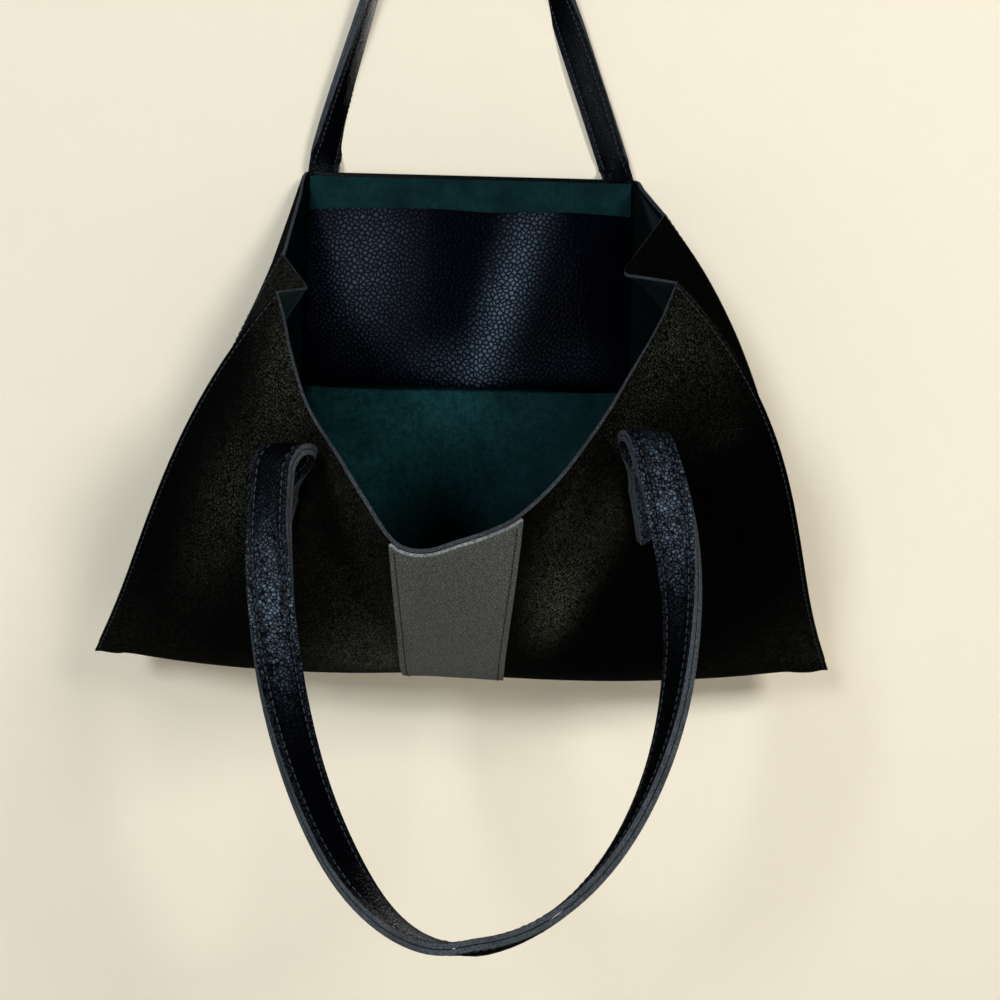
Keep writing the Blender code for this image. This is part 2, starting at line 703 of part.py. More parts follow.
def loop_frames(path):
    """The strap's inner edge leads at its folds, and it turns until its outer edge leads at the bottom."""
    tangents = np.gradient(path, axis=0)
    tangents[0] = crown_forward(-1)
    tangents[-1] = -crown_forward(1)
    tangents /= np.linalg.norm(tangents, axis=1, keepdims=True)
    runs = np.concatenate([[0], np.cumsum(np.linalg.norm(np.diff(path, axis=0), axis=1))])
    halves = 1 - np.abs(2 * runs / runs[-1] - 1)
    sides = []
    for k, (tangent, half) in enumerate(zip(tangents, halves)):
        turns, sign = (LEFT_TURNS, -1) if k < len(path) / 2 else (RIGHT_TURNS, 1)
        if min(k, len(path) - 1 - k) < 5:
            side = np.cross(crown_forward(sign), (0, 0, -1.0 * sign))
            side = unit(side - tangent * np.dot(side, tangent))
        else:
            side = np.cross((0, 1.0, 0), tangent)
            side = unit(side - tangent * np.dot(side, tangent))
            turn = turn_at(turns, half)
            side = side * math.cos(turn) - np.cross(tangent, side) * math.sin(turn)
        sides.append(side)
    sides = np.array(sides)
    return sides, np.cross(tangents, sides)


def make_front_handle(grid, normals, finish, thread):
    crowns = {}
    for word, sign in (("left", -1), ("right", 1)):
        path, sides, facing = front_tab_path(grid, normals, sign)
        crowns[word] = path[-1]
        strap_pair(f"front_{word}_tab", path, sides, facing, finish, SWING_AXIS)
        tab_stitches(f"front_{word}_tab_stitches", path[1:5], sides[1:5], facing[1:5], thread)
    path = front_loop_path(crowns["left"], crowns["right"])
    sides, faces = loop_frames(path)
    lift = np.array([0, 0, STRAP_THICKNESS / 2 + CLEARANCE])
    origin = tuple((crowns["left"] + crowns["right"]) / 2 + lift)
    strap_pair("front_handle", path, sides, faces, finish, origin)
    strap_stitches("front_handle", path, sides, faces, thread, origin)


def build():
    clear_scene()
    black = material("black_leather", BLACK, 0.42)
    grey = material("grey_leather", GREY, 0.55)
    thread = material("black_thread", THREAD_BLACK, 0.6)
    grid, normals = make_body(black)
    make_patch(grid, normals, grey, thread)
    make_gussets(black, thread)
    make_seam_stitches(grid, normals, thread)
    make_pocket(black, thread)
    make_rear_handle(black, thread)
    make_rear_tabs(black, thread)
    make_front_handle(grid, normals, black, thread)


build()
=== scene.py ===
"""Looks of the leather tote bag: each leather piece, its cut edges and its stitching, at real size.

Metres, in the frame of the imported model. The bag's own shape is written from its middle, and
every piece is set over to the hook by HOOK_OFFSET as it is made.
"""

import math

import bpy
import numpy as np
from mathutils import Matrix, Vector


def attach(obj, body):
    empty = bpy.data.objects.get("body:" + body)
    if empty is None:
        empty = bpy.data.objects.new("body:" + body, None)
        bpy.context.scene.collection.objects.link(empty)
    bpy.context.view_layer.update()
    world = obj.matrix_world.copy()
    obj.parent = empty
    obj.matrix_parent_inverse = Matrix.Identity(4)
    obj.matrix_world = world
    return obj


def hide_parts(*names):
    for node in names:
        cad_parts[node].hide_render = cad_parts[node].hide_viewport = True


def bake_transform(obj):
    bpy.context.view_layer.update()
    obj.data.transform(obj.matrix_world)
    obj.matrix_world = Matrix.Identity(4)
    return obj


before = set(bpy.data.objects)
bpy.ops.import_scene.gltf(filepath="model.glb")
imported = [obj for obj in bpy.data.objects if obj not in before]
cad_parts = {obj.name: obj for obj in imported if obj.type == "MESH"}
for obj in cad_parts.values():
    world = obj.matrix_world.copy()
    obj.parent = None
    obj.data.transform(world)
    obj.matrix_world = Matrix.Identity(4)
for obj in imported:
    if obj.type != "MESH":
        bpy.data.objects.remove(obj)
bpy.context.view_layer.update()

# The camera
# The picture is taken level from in front of the open mouth, and is turned a little clockwise.
CAMERA_PLACE = (0.0375, -0.67245, -0.4807)
CAMERA_ROLL = math.radians(1.5)
QUARTER_TURN = math.radians(90)
camera_data = bpy.data.cameras.new("camera")
camera_data.lens = 36
camera_data.sensor_width = 36
camera = bpy.data.objects.new("camera", camera_data)
level = Matrix.Rotation(QUARTER_TURN, 4, "X") @ Matrix.Rotation(CAMERA_ROLL, 4, "Z")
camera.matrix_world = Matrix.Translation(CAMERA_PLACE) @ level
bpy.context.scene.collection.objects.link(camera)
bpy.context.scene.camera = camera


# The wall and the floor
# A painted plaster wall behind the bag, which is left out when it is looked at from behind, and a
# pale floor well below. Three soft lamps light the bag from in front, and one from behind.
WALL_PAINT = (0.84, 0.77, 0.625, 1.0)
FLOOR_PAINT = (0.78, 0.74, 0.68, 1.0)
WALL_Y = 0.0045
WALL_SIZE = 5.0
FLOOR_Z = -0.90
FLOOR_SIZE = 8.0
ROOM_COLOUR = (0.90, 0.87, 0.82, 1.0)
ROOM_LIGHT = 0.02
ROOM_SEEN = 0.88


def node(tree, kind, inputs=None, **settings):
    """One node of a finish: its settings, then a value or another node's output for its sockets."""
    made = tree.nodes.new("ShaderNode" + kind)
    for word, value in settings.items():
        setattr(made, word, value)
    for socket, value in (inputs or {}).items():
        if isinstance(value, bpy.types.NodeSocket):
            tree.links.new(value, made.inputs[socket])
        else:
            made.inputs[socket].default_value = value
    return made


def new_finish(name, colour, roughness, specular):
    """A material with its plain values on the shader's own sockets."""
    made = bpy.data.materials.new(name)
    made.use_nodes = True
    shader = made.node_tree.nodes["Principled BSDF"]
    shader.inputs["Base Color"].default_value = colour
    shader.inputs["Roughness"].default_value = roughness
    shader.inputs["Specular IOR Level"].default_value = specular
    made.diffuse_color = colour
    return made, made.node_tree, shader


def ramp(tree, factor, stops, wanted="Color"):
    """A colour ramp through the stops: place and grey level or colour."""
    made = node(tree, "ValToRGB", {"Fac": factor})
    points = made.color_ramp.elements
    while len(points) < len(stops):
        points.new(0.5)
    for point, (place, value) in zip(points, stops):
        point.position = place
        point.color = value if isinstance(value, tuple) else (value, value, value, 1.0)
    return made.outputs[wanted]


def blended(tree, factor, low, high, kind="RGBA"):
    """A mix of two colours or two numbers by a factor."""
    made = tree.nodes.new("ShaderNodeMix")
    made.data_type = kind
    sockets = [s for s in made.inputs if s.enabled]
    for socket, value in zip(sockets, (factor, low, high)):
        if isinstance(value, bpy.types.NodeSocket):
            tree.links.new(value, socket)
        else:
            socket.default_value = value
    return [s for s in made.outputs if s.enabled][0]


def scaled(tree, value, factor, offset=0.0):
    return node(tree, "Math", {0: value, 1: factor, 2: offset}, operation="MULTIPLY_ADD").outputs[0]


def product(tree, first, second, **settings):
    return node(tree, "Math", {0: first, 1: second}, operation="MULTIPLY", **settings).outputs[0]


def object_places(tree):
    return node(tree, "TexCoord").outputs["Object"]


def noise(tree, spots, scale, detail=2.0, roughness=0.5):
    """A random pattern, finer as its scale is larger."""
    inputs = {"Vector": spots, "Scale": scale, "Detail": detail, "Roughness": roughness}
    return node(tree, "TexNoise", inputs).outputs["Fac"]


def raised(tree, shader, height, depth, strength=1.0):
    """Gives a finish its fine relief."""
    bump = node(tree, "Bump", {"Height": height, "Strength": strength, "Distance": depth})
    tree.links.new(bump.outputs[0], shader.inputs["Normal"])


plaster, tree, shader = new_finish("wall_plaster", WALL_PAINT, 0.9, 0.15)
raised(tree, shader, noise(tree, object_places(tree), 22.0, 4.0), 0.004, 0.25)
behind = node(tree, "NewGeometry").outputs["Backfacing"]
clear = node(tree, "BsdfTransparent").outputs[0]
mixed = node(tree, "MixShader", {0: behind, 1: shader.outputs[0], 2: clear}).outputs[0]
tree.links.new(mixed, tree.nodes["Material Output"].inputs["Surface"])

bpy.ops.object.select_all(action="DESELECT")
bpy.ops.mesh.primitive_plane_add(
    size=WALL_SIZE, location=(0, WALL_Y, 0), rotation=(QUARTER_TURN, 0, 0)
)
wall = bpy.context.object
wall.name = "wall"
wall.data.materials.append(plaster)
wall.visible_shadow = False
wall.visible_diffuse = False
wall.visible_glossy = False
floor_paint, tree, shader = new_finish("floor_paint", FLOOR_PAINT, 0.8, 0.2)
raised(tree, shader, noise(tree, object_places(tree), 60.0), 0.002, 0.1)
bpy.ops.mesh.primitive_plane_add(size=FLOOR_SIZE, location=(0, 0, FLOOR_Z))
floor = bpy.context.object
floor.name = "floor"
floor.data.materials.append(floor_paint)
floor.visible_glossy = False

world = bpy.data.worlds.new("room")
bpy.context.scene.world = world
world.use_nodes = True
tree = world.node_tree
backdrop = tree.nodes["Background"]
backdrop.inputs["Color"].default_value = ROOM_COLOUR
seen = node(tree, "LightPath").outputs["Is Camera Ray"]
tree.links.new(scaled(tree, seen, ROOM_SEEN, ROOM_LIGHT), backdrop.inputs["Strength"])


def lamp(name, place, target, size, power, colour, glints=True):
    """A soft square lamp aimed at a place; one without glints only brightens matt surfaces."""
    data = bpy.data.lights.new(name, "AREA")
    data.size = size
    data.energy = power
    data.color = colour
    made = bpy.data.objects.new(name, data)
    made.visible_camera = False
    made.visible_glossy = glints
    aim = Vector(target) - Vector(place)
    turn = aim.to_track_quat("-Z", "Y").to_matrix().to_4x4()
    made.matrix_world = Matrix.Translation(place) @ turn
    bpy.context.scene.collection.objects.link(made)


BAG_MIDDLE = (0.02, 0.0, -0.42)
BAG_BASE = (0.02, 0.0, -0.70)
lamp("room_right", (1.20, -1.60, 0.32), BAG_MIDDLE, 0.50, 24.0, (1.0, 0.98, 0.95), glints=False)
lamp("window_left", (-0.90, -1.95, 0.20), BAG_MIDDLE, 0.50, 24.0, (0.86, 0.93, 1.0))
lamp("low_front", (0.05, -1.50, -1.00), BAG_BASE, 0.40, 9.0, (1.0, 0.98, 0.93), glints=False)
lamp("rear", (0.6, 1.9, 0.4), BAG_MIDDLE, 1.2, 40.0, (1.0, 0.98, 0.95))


# The body panel
# One piece of pebbled leather, smooth suede on its inner side, that runs down the rear, under the
# base and up the front. Its edges are cut raw, and its sides are sewn to the gussets.
HOOK_OFFSET = 0.0125
TO_HOOK = np.array([HOOK_OFFSET, 0, 0])
LEATHER = 0.0018
CLEARANCE = 0.0003
STRAP_LAYER = 0.0024
STRAP_THICKNESS = 2 * STRAP_LAYER + CLEARANCE
BODY_HEIGHT = 0.325
REAR_RIM_WIDTH = 0.220
REAR_FLAT_BASE_WIDTH = 0.400
BASE_BEND_HEIGHT = 0.028
BASE_DEPTH = 0.096
CORNER_REACH = 0.040
CORNER_FOLD = 0.006
CORNER_LIFT = 0.008
BEND_FULLNESS = 0.42
MOUTH_REACH = 0.243
PATCH_WIDTH = 0.060
REAR_HANDLE_RISE = 0.265
RIM_Z = -REAR_HANDLE_RISE
REAR_FACE_Y = -(STRAP_THICKNESS / 2 + CLEARANCE)
REAR_MID_Y = REAR_FACE_Y - LEATHER / 2
BASE_Z = RIM_Z - BODY_HEIGHT
REAR_ROWS = 9
BASE_ROWS = 8
FRONT_ROWS = 12
FLAT_SHARES = (0.18, 0.38, 0.6, 0.82, 1.0)
SIDE_SHARES = (0.3, 0.6, 0.86, 1.0)
FINER = 4
LEFT = {
    "sign": -1,
    "corner": 0.226,
    "rear_ridge": (0.108, 0.072, 0.073),
    "apex": (0.085, 0.110, 0.100),
    "front_ridge": (0.090, 0.68 * MOUTH_REACH, 0.114),
    "rear_bow": 0.004,
    "front_bow": 0.012,
}
RIGHT = {
    "sign": 1,
    "corner": 0.233,
    "rear_ridge": (0.116, 0.088, 0.048),
    "apex": (0.088, 0.120, 0.090),
    "front_ridge": (0.111, 0.68 * MOUTH_REACH, 0.104),
    "rear_bow": 0.018,
    "front_bow": 0.021,
}
FRONT_RIM = (
    (-0.081, 0.749, 0.135),
    (-0.069, 0.823, 0.169),
    (-0.044, 0.914, 0.204),
    (-0.019, 0.988, 0.236),
    (0.004, 1.0, 0.235),
    (0.038, 0.963, 0.219),
    (0.070, 0.872, 0.180),
    (0.096, 0.774, 0.139),
)
GRAIN_BLACK = (0.0008, 0.0008, 0.0007, 1.0)
# The creases' darker colour is painted shade.
GRAIN_CREASE_SHADE = (0.0002, 0.0002, 0.0002, 1.0)
# Painted sheen on the black leather: the colour its pebble tops take where it is marked, and the
# soft places where it lies on the front: middle x and z, half length and half width, lean,
# strength.
GRAIN_PAINTED_SHEEN = (0.150, 0.152, 0.112, 1.0)
FACE_PAINTED_SHEEN = (
    (-0.080, -0.412, 0.045, 0.016, -8, 0.42),
    (-0.118, -0.485, 0.060, 0.018, 33, 0.28),
    (-0.035, -0.585, 0.030, 0.040, 0, 1.00),
    (-0.090, -0.588, 0.008, 0.090, 0, 0.25),
    (-0.042, -0.482, 0.025, 0.010, -35, 0.22),
    (-0.035, -0.535, 0.050, 0.032, 0, 0.24),
    (-0.085, -0.470, 0.090, 0.040, 20, 0.07),
    (0.110, -0.410, 0.045, 0.045, 0, 0.08),
    (0.055, -0.535, 0.026, 0.014, 0, 1.00),
    (0.066, -0.495, 0.030, 0.020, 0, 0.38),
    (0.105, -0.400, 0.038, 0.013, 22, 0.18),
    (0.130, -0.395, 0.025, 0.020, 0, 0.11),
    (0.085, -0.450, 0.020, 0.014, 0, 0.15),
    (0.146, -0.448, 0.010, 0.012, 0, 0.10),
)
# Painted shadow on the front: at each height, the x to the right of which the painted sheen is cut
# off, and how softly it ends.
PAINTED_SHADOW_EDGE = (
    (-0.600, 0.040),
    (-0.565, 0.055),
    (-0.494, 0.097),
    (-0.460, 0.121),
    (-0.434, 0.167),
    (-0.400, 0.210),
)
PAINTED_SHADOW_SOFTNESS = 0.004
FRONT_FROM_Y = -0.075
FRONT_SOFTNESS = 0.006
# An even painted sheen on the rear and the sides of the body panel.
REST_PAINTED_SHEEN = 0.12
SUEDE_TEAL = (0.0055, 0.0300, 0.0330, 1.0)
SUEDE_DARK = (0.0020, 0.0120, 0.0135, 1.0)
# Painted light on the suede, paler low in the middle of the bag, and the near-black of painted
# shade beside the pocket.
SUEDE_PAINTED_LIGHT = (0.0150, 0.0820, 0.0920, 1.0)
SUEDE_PAINTED_SHADE = (0.0004, 0.0022, 0.0028, 1.0)
SUEDE_SHEEN = (0.45, 0.75, 0.78, 1.0)
# Where the suede's painted light lies: middle x and z, half length and half width, lean, strength.
SUEDE_PAINTED_LIGHT_PLACES = (
    (-0.020, -0.420, 0.050, 0.080, 0, 0.80),
    (-0.040, -0.465, 0.035, 0.045, 0, 0.40),
)
# The painted shade beside the pocket lies outside this x and above this height.
PAINTED_SHADE_FROM_X = 0.103
PAINTED_SHADE_FROM_Z = -0.47
EDGE_GREY = (0.045, 0.052, 0.060, 1.0)


def unit(vector):
    vector = np.asarray(vector, float)
    return vector / np.linalg.norm(vector)


def units(rows):
    return rows / np.linalg.norm(rows, axis=-1, keepdims=True)


def square_to(tangent, side):
    return unit(side - tangent * np.dot(side, tangent))


def lerp(a, b, t):
    return np.asarray(a, float) * (1 - t) + np.asarray(b, float) * t


def smoothstep(t):
    t = min(max(t, 0.0), 1.0)
    return t * t * (3 - 2 * t)


def cubic(p0, p1, p2, p3, t):
    s = 1 - t
    return s**3 * p0 + 3 * s * s * t * p1 + 3 * s * t * t * p2 + t**3 * p3


def through(points, steps):
    """A smooth curve through the points, as closely spaced places along it."""
    points = np.asarray(points, float)
    padded = np.concatenate([[2 * points[0] - points[1]], points, [2 * points[-1] - points[-2]]])
    made = []
    for a, b, c, d in zip(padded, padded[1:], padded[2:], padded[3:]):
        for k in range(steps):
            t = k / steps
            even = 2 * b + (c - a) * t
            even = even + (2 * a - 5 * b + 4 * c - d) * t**2
            made.append(0.5 * (even + (3 * b - a - 3 * c + d) * t**3))
    made.append(points[-1])
    return np.array(made)


def runs_along(path):
    """The distance along a path to each of its points."""
    return np.concatenate([[0], np.cumsum(np.linalg.norm(np.diff(path, axis=0), axis=1))])


def read_off(places, runs, rows):
    """What the rows would say at other places than their own, one or many."""
    return np.stack([np.interp(places, runs, values) for values in rows.T], axis=-1)


def resample(path, places):
    """Points at the given distances along a path."""
    return read_off(places, runs_along(path), path)


def length_of(path):
    return np.linalg.norm(np.diff(path, axis=0), axis=1).sum()


def grid_normals(grid):
    return units(np.cross(np.gradient(grid, axis=1), np.gradient(grid, axis=0)))


def finer(grid, steps):
    """The same surface with more points, by smooth curves through its rows and columns."""
    rows = np.stack([through(grid[:, c], steps) for c in range(grid.shape[1])], axis=1)
    return np.stack([through(row, steps) for row in rows], axis=0)


def side_places(side):
    """A side's ridge and apex points at the rim, and its corner at the base."""
    def at(values):
        across, reach, drop = values
        return np.array([side["sign"] * across, REAR_MID_Y - reach, RIM_Z - drop])

    corner_x = side["sign"] * side["corner"]
    corner = np.array([corner_x, REAR_MID_Y - CORNER_REACH, BASE_Z + CORNER_LIFT])
    return at(side["rear_ridge"]), at(side["apex"]), at(side["front_ridge"]), corner


def swelling(height):
    """How far a side bows out, as a share of the most: none at the base and the rim."""
    return 6.75 * height * height * (1 - height)


def seam(side, which, height):
    """The line where the body panel meets a gusset, from the base corner (0) to the rim (1)."""
    rear, _, front, corner = side_places(side)
    top, bow, shift = (rear, "rear_bow", 0.5) if which == "rear" else (front, "front_bow", -0.5)
    point = lerp(corner + np.array([0, shift * CORNER_FOLD, 0]), top, height)
    return point + np.array([swelling(height) * side[bow] * side["sign"], 0, 0])


def rear_point(side, flat, share, height):
    """A place on the rear, height from 0 at the base bend to 1 at the rim."""
    crease = lerp(REAR_FLAT_BASE_WIDTH / 2, REAR_RIM_WIDTH / 2, height)
    z = lerp(BASE_Z + BASE_BEND_HEIGHT, RIM_Z, height)
    if share == 0:
        return np.array([side["sign"] * flat / (REAR_FLAT_BASE_WIDTH / 2) * crease, REAR_MID_Y, z])
    return lerp(np.array([side["sign"] * crease, REAR_MID_Y, z]), seam(side, "rear", height), share)


def front_base_point(side, flat, share):
    """A place on the front of the base bend."""
    if share == 0:
        reach = lerp(CORNER_REACH + CORNER_FOLD / 2, BASE_DEPTH, 1 - (flat / side["corner"]) ** 2)
        return np.array([side["sign"] * flat, REAR_MID_Y - reach, BASE_Z + BASE_BEND_HEIGHT * 0.6])
    return lerp(front_base_point(side, REAR_FLAT_BASE_WIDTH / 2, 0), seam(side, "front", 0), share)


def front_rim_curve():
    between = [(x, REAR_MID_Y - share * MOUTH_REACH, RIM_Z - drop) for x, share, drop in FRONT_RIM]
    return through([side_places(LEFT)[2]] + between + [side_places(RIGHT)[2]], 8)


def front_point(side, flat, share, height, curve):
    """A place on the front, height from 0 at the base bend to 1 at the rim."""
    across = float(flat if share == 0 else lerp(REAR_FLAT_BASE_WIDTH / 2, side["corner"], share))
    half = length_of(curve) / 2
    patch = PATCH_WIDTH / 2
    run = across
    if across > patch:
        run = patch + (across - patch) * (half - patch) / (side["corner"] - patch)
    top = resample(curve, [half + side["sign"] * run])[0]
    swell = swelling(height) * side["front_bow"] * side["sign"] * (across / side["corner"]) ** 2
    return lerp(front_base_point(side, flat, share), top, height) + np.array([swell, 0, 0])


def body_column(side, flat, share, curve):
    """One line of the body panel: down from the rear rim, round the base, up to the front rim."""
    rear = [rear_point(side, flat, share, 1 - k / REAR_ROWS) for k in range(REAR_ROWS + 1)]
    front = [front_point(side, flat, share, k / FRONT_ROWS, curve) for k in range(FRONT_ROWS + 1)]
    down = unit(rear[-1] - rear[-2])
    back = unit(front[0] - front[1])
    low, high = rear[-1], front[0]
    reach = np.linalg.norm(high - low) * BEND_FULLNESS
    pulls = (low, low + down * reach, high + back * reach, high)
    return rear + [cubic(*pulls, k / BASE_ROWS) for k in range(1, BASE_ROWS)] + front


def body_grid():
    """Rows run from the rear rim to the front rim, columns from one side seam to the other."""
    half = PATCH_WIDTH / 2
    flat = [0.0, half / 2, half]
    flat += [float(lerp(half, REAR_FLAT_BASE_WIDTH / 2, share)) for share in FLAT_SHARES]
    curve = front_rim_curve()
    halves = []
    for side in (RIGHT, LEFT):
        columns = [body_column(side, value, 0, curve) for value in flat]
        halves.append(columns + [body_column(side, 0, share, curve) for share in SIDE_SHARES])
    return np.array(halves[1][:0:-1] + halves[0]).transpose(1, 0, 2)


PEBBLES_LAID = (-QUARTER_TURN, 0, math.radians(35))


def pebbled_leather(
    name, cell, colours, shine, specular, depth, gap=0.30, flat=False, glints=(0.3, 1.0)
):
    """Full-grain leather: low pebbles with painted shade in the creases between them, their tops
    paler with painted sheen where it is marked.
    """
    crease_shade, top, painted_sheen = colours
    made, tree, shader = new_finish(name, top, shine, specular)
    spots = object_places(tree)
    laid = node(tree, "Mapping", {"Vector": spots, "Rotation": PEBBLES_LAID}).outputs[0]
    drift = node(tree, "TexNoise", {"Vector": spots, "Scale": 0.4 / cell, "Detail": 1.0})
    sway = {0: drift.outputs["Color"], 1: (cell * 0.8, cell * 0.8, cell * 0.8), 2: laid}
    moved = node(tree, "VectorMath", sway, operation="MULTIPLY_ADD").outputs[0]
    cells = {"Vector": moved, "Scale": 1 / cell, "Randomness": 0.8}
    grid = "2D" if flat else "3D"
    whole = node(tree, "TexVoronoi", cells, feature="F1", voronoi_dimensions=grid)
    edges = node(tree, "TexVoronoi", cells, feature="DISTANCE_TO_EDGE", voronoi_dimensions=grid)
    slopes = [(0.0, 0.0), (gap * 0.35, 0.15), (gap * 0.75, 0.80), (gap * 1.2, 1.0)]
    pebble = ramp(tree, edges.outputs["Distance"], slopes)
    dome = ramp(tree, whole.outputs["Distance"], [(0.10, 1.0), (0.50, 0.85), (0.85, 0.55)])
    pores = noise(tree, spots, 5.0 / cell)
    raised(tree, shader, scaled(tree, pores, 0.12, scaled(tree, pebble, 0.8, dome)), depth)
    surface = top
    # Painted sheen on the pebble tops: patchy, stronger on some pebbles and at their middles.
    if painted_sheen:
        marked = node(tree, "Attribute", attribute_name="painted_sheen").outputs["Fac"]
        patches = ramp(tree, noise(tree, spots, 60.0, 4.0), [(0.3, 0.7), (0.7, 1.0)])
        glint = ramp(tree, whole.outputs["Color"], [(0.15, glints[0]), (0.85, glints[1])])
        for share in (patches, glint, dome):
            marked = product(tree, marked, share)
        surface = blended(tree, marked, top, painted_sheen)
    # The creases take the darker colour: painted shade.
    tree.links.new(blended(tree, pebble, crease_shade, surface), shader.inputs["Base Color"])
    tree.links.new(scaled(tree, pebble, -0.15, shine + 0.15), shader.inputs["Roughness"])
    return made


def mark(piece, name, values):
    """A value for each point of a piece, which its finish reads."""
    layer = piece.data.attributes.new(name, "FLOAT", "POINT")
    layer.data.foreach_set("value", np.asarray(values, float))


def points_of(piece):
    """A piece's points, written from the middle of the bag."""
    points = np.zeros(len(piece.data.vertices) * 3)
    piece.data.vertices.foreach_get("co", points)
    return points.reshape(-1, 3) - TO_HOOK


def in_places(points, places):
    """How strongly points lie in soft places: middle, half length and width, lean, strength."""
    total = np.zeros(len(points))
    for x, z, long, wide, lean, strength in places:
        turn = math.radians(lean)
        across = points[:, 0] - x
        up = points[:, 2] - z
        along = across * math.sin(turn) + up * math.cos(turn)
        aside = across * math.cos(turn) - up * math.sin(turn)
        total += strength * np.exp(-((along / long) ** 2) - (aside / wide) ** 2)
    return total


def inside_painted_light(points):
    """Painted light on the suede low in the middle, and painted shade beside the pocket, marked
    below zero.
    """
    aside = np.clip((np.abs(points[:, 0]) - PAINTED_SHADE_FROM_X) / 0.005, 0, 1)
    aside = aside * np.clip((points[:, 2] - PAINTED_SHADE_FROM_Z) / 0.02, 0, 1)
    return in_places(points, SUEDE_PAINTED_LIGHT_PLACES) - 2.0 * aside


def face_painted_light(points):
    """Painted sheen in soft places on the face, cut off by painted shadow to the right of an edge
    line; the rest of the panel has an even painted sheen.
    """
    # Where the painted shadow begins, at each point's height.
    fold = np.interp(points[:, 2], *np.array(PAINTED_SHADOW_EDGE).T)
    lit = in_places(points, FACE_PAINTED_SHEEN) / (1 + np.exp((points[:, 0] - fold) / PAINTED_SHADOW_SOFTNESS))
    front = 1 / (1 + np.exp((points[:, 1] - FRONT_FROM_Y) / FRONT_SOFTNESS))
    return REST_PAINTED_SHEEN * (1 - front) + front * lit


def suede(name, dark, light, painted_light):
    """The leather's inner side: a short mottled nap, matt, with painted light where it is marked
    above zero and painted shade where below.
    """
    made, tree, shader = new_finish(name, light, 0.95, 0.08)
    spots = object_places(tree)
    strokes = noise(tree, spots, 45.0, 5.0, 0.65)
    mottle = noise(tree, spots, 330.0, 3.0, 0.7)
    nap = noise(tree, spots, 1100.0, 3.0, 0.7)
    tone = blended(tree, ramp(tree, strokes, [(0.36, 0.0), (0.62, 1.0)]), dark, light)
    # Painted light, patchy, where the mark is above zero.
    painted_light_mask = node(tree, "Attribute", attribute_name="painted_light").outputs["Fac"]
    patches = ramp(tree, strokes, [(0.3, 0.5), (0.65, 1.0)])
    painted_light_mask = product(tree, painted_light_mask, patches)
    tone = blended(tree, painted_light_mask, tone, painted_light)
    tone = blended(tree, ramp(tree, mottle, [(0.38, 0.55), (0.60, 0.0)]), tone, dark)
    tone = blended(tree, ramp(tree, nap, [(0.40, 0.45), (0.62, 0.0)]), tone, dark)
    # Painted shade where the mark is below zero.
    tone = blended(tree, product(tree, painted_light_mask, -1.0, use_clamp=True), tone, SUEDE_PAINTED_SHADE)
    tree.links.new(tone, shader.inputs["Base Color"])
    shader.inputs["Sheen Weight"].default_value = 0.04
    shader.inputs["Sheen Roughness"].default_value = 0.5
    shader.inputs["Sheen Tint"].default_value = SUEDE_SHEEN
    raised(tree, shader, nap, 0.0005, 0.5)
    return made


def cut_edge(name, colour):
    """A raw cut edge: pale fibres in thin layers, darker where dye has crept in."""
    made, tree, shader = new_finish(name, colour, 0.85, 0.15)
    spots = object_places(tree)
    fibres = noise(tree, spots, 1100.0, 4.0, 0.7)
    stains = noise(tree, spots, 70.0, 3.0)
    dark = tuple(value * 0.35 for value in colour[:3]) + (1.0,)
    light = tuple(value * 1.5 for value in colour[:3]) + (1.0,)
    tone = blended(tree, ramp(tree, fibres, [(0.36, 0.0), (0.66, 1.0)]), dark, light)
    tone = blended(tree, ramp(tree, stains, [(0.45, 0.0), (0.70, 0.6)]), tone, dark)
    tree.links.new(tone, shader.inputs["Base Color"])
    raised(tree, shader, fibres, 0.0004, 0.6)
    return made


EASED_EDGE = 0.00025
EDGE_ANGLE = math.radians(62)
SMOOTH_ANGLE = math.radians(50)


def cut_leather(name, outer, inner, finishes, bevel=EASED_EDGE):
    """A sheet cut flat, thickened by extruding, laid on its two surfaces, its cut edges eased."""
    rows, columns = outer.shape[:2]
    bpy.ops.object.select_all(action="DESELECT")
    bpy.ops.mesh.primitive_grid_add(x_subdivisions=columns - 1, y_subdivisions=rows - 1, size=1)
    piece = bpy.context.object
    piece.name = name
    piece.data.name = name
    bpy.ops.object.mode_set(mode="EDIT")
    bpy.ops.mesh.select_all(action="SELECT")
    bpy.ops.mesh.extrude_region()
    bpy.ops.object.mode_set(mode="OBJECT")
    mesh = piece.data
    flat = np.zeros(len(mesh.vertices) * 3)
    mesh.vertices.foreach_get("co", flat)
    flat = flat.reshape(-1, 3)
    upper = np.zeros(len(mesh.vertices), bool)
    mesh.vertices.foreach_get("select", upper)
    c = np.rint((flat[:, 0] + 0.5) * (columns - 1)).astype(int)
    r = np.rint((flat[:, 1] + 0.5) * (rows - 1)).astype(int)
    places = np.where(upper[:, None], outer[r, c], inner[r, c]) + TO_HOOK
    for finish in finishes:
        mesh.materials.append(finish)
    for face in mesh.polygons:
        above = sum(bool(upper[k]) for k in face.vertices)
        face.material_index = 0 if above == len(face.vertices) else 1 if above == 0 else 2
    mesh.vertices.foreach_set("co", places.reshape(-1))
    mesh.update()
    bpy.ops.object.mode_set(mode="EDIT")
    bpy.ops.mesh.select_all(action="SELECT")
    bpy.ops.mesh.normals_make_consistent(inside=False)
    bpy.ops.object.mode_set(mode="OBJECT")
    eased = piece.modifiers.new("eased", "BEVEL")
    eased.width = bevel
    eased.segments = 2
    eased.limit_method = "ANGLE"
    eased.angle_limit = EDGE_ANGLE
    bpy.ops.object.modifier_apply(modifier="eased")
    bpy.ops.object.shade_smooth_by_angle(angle=SMOOTH_ANGLE)
    return piece


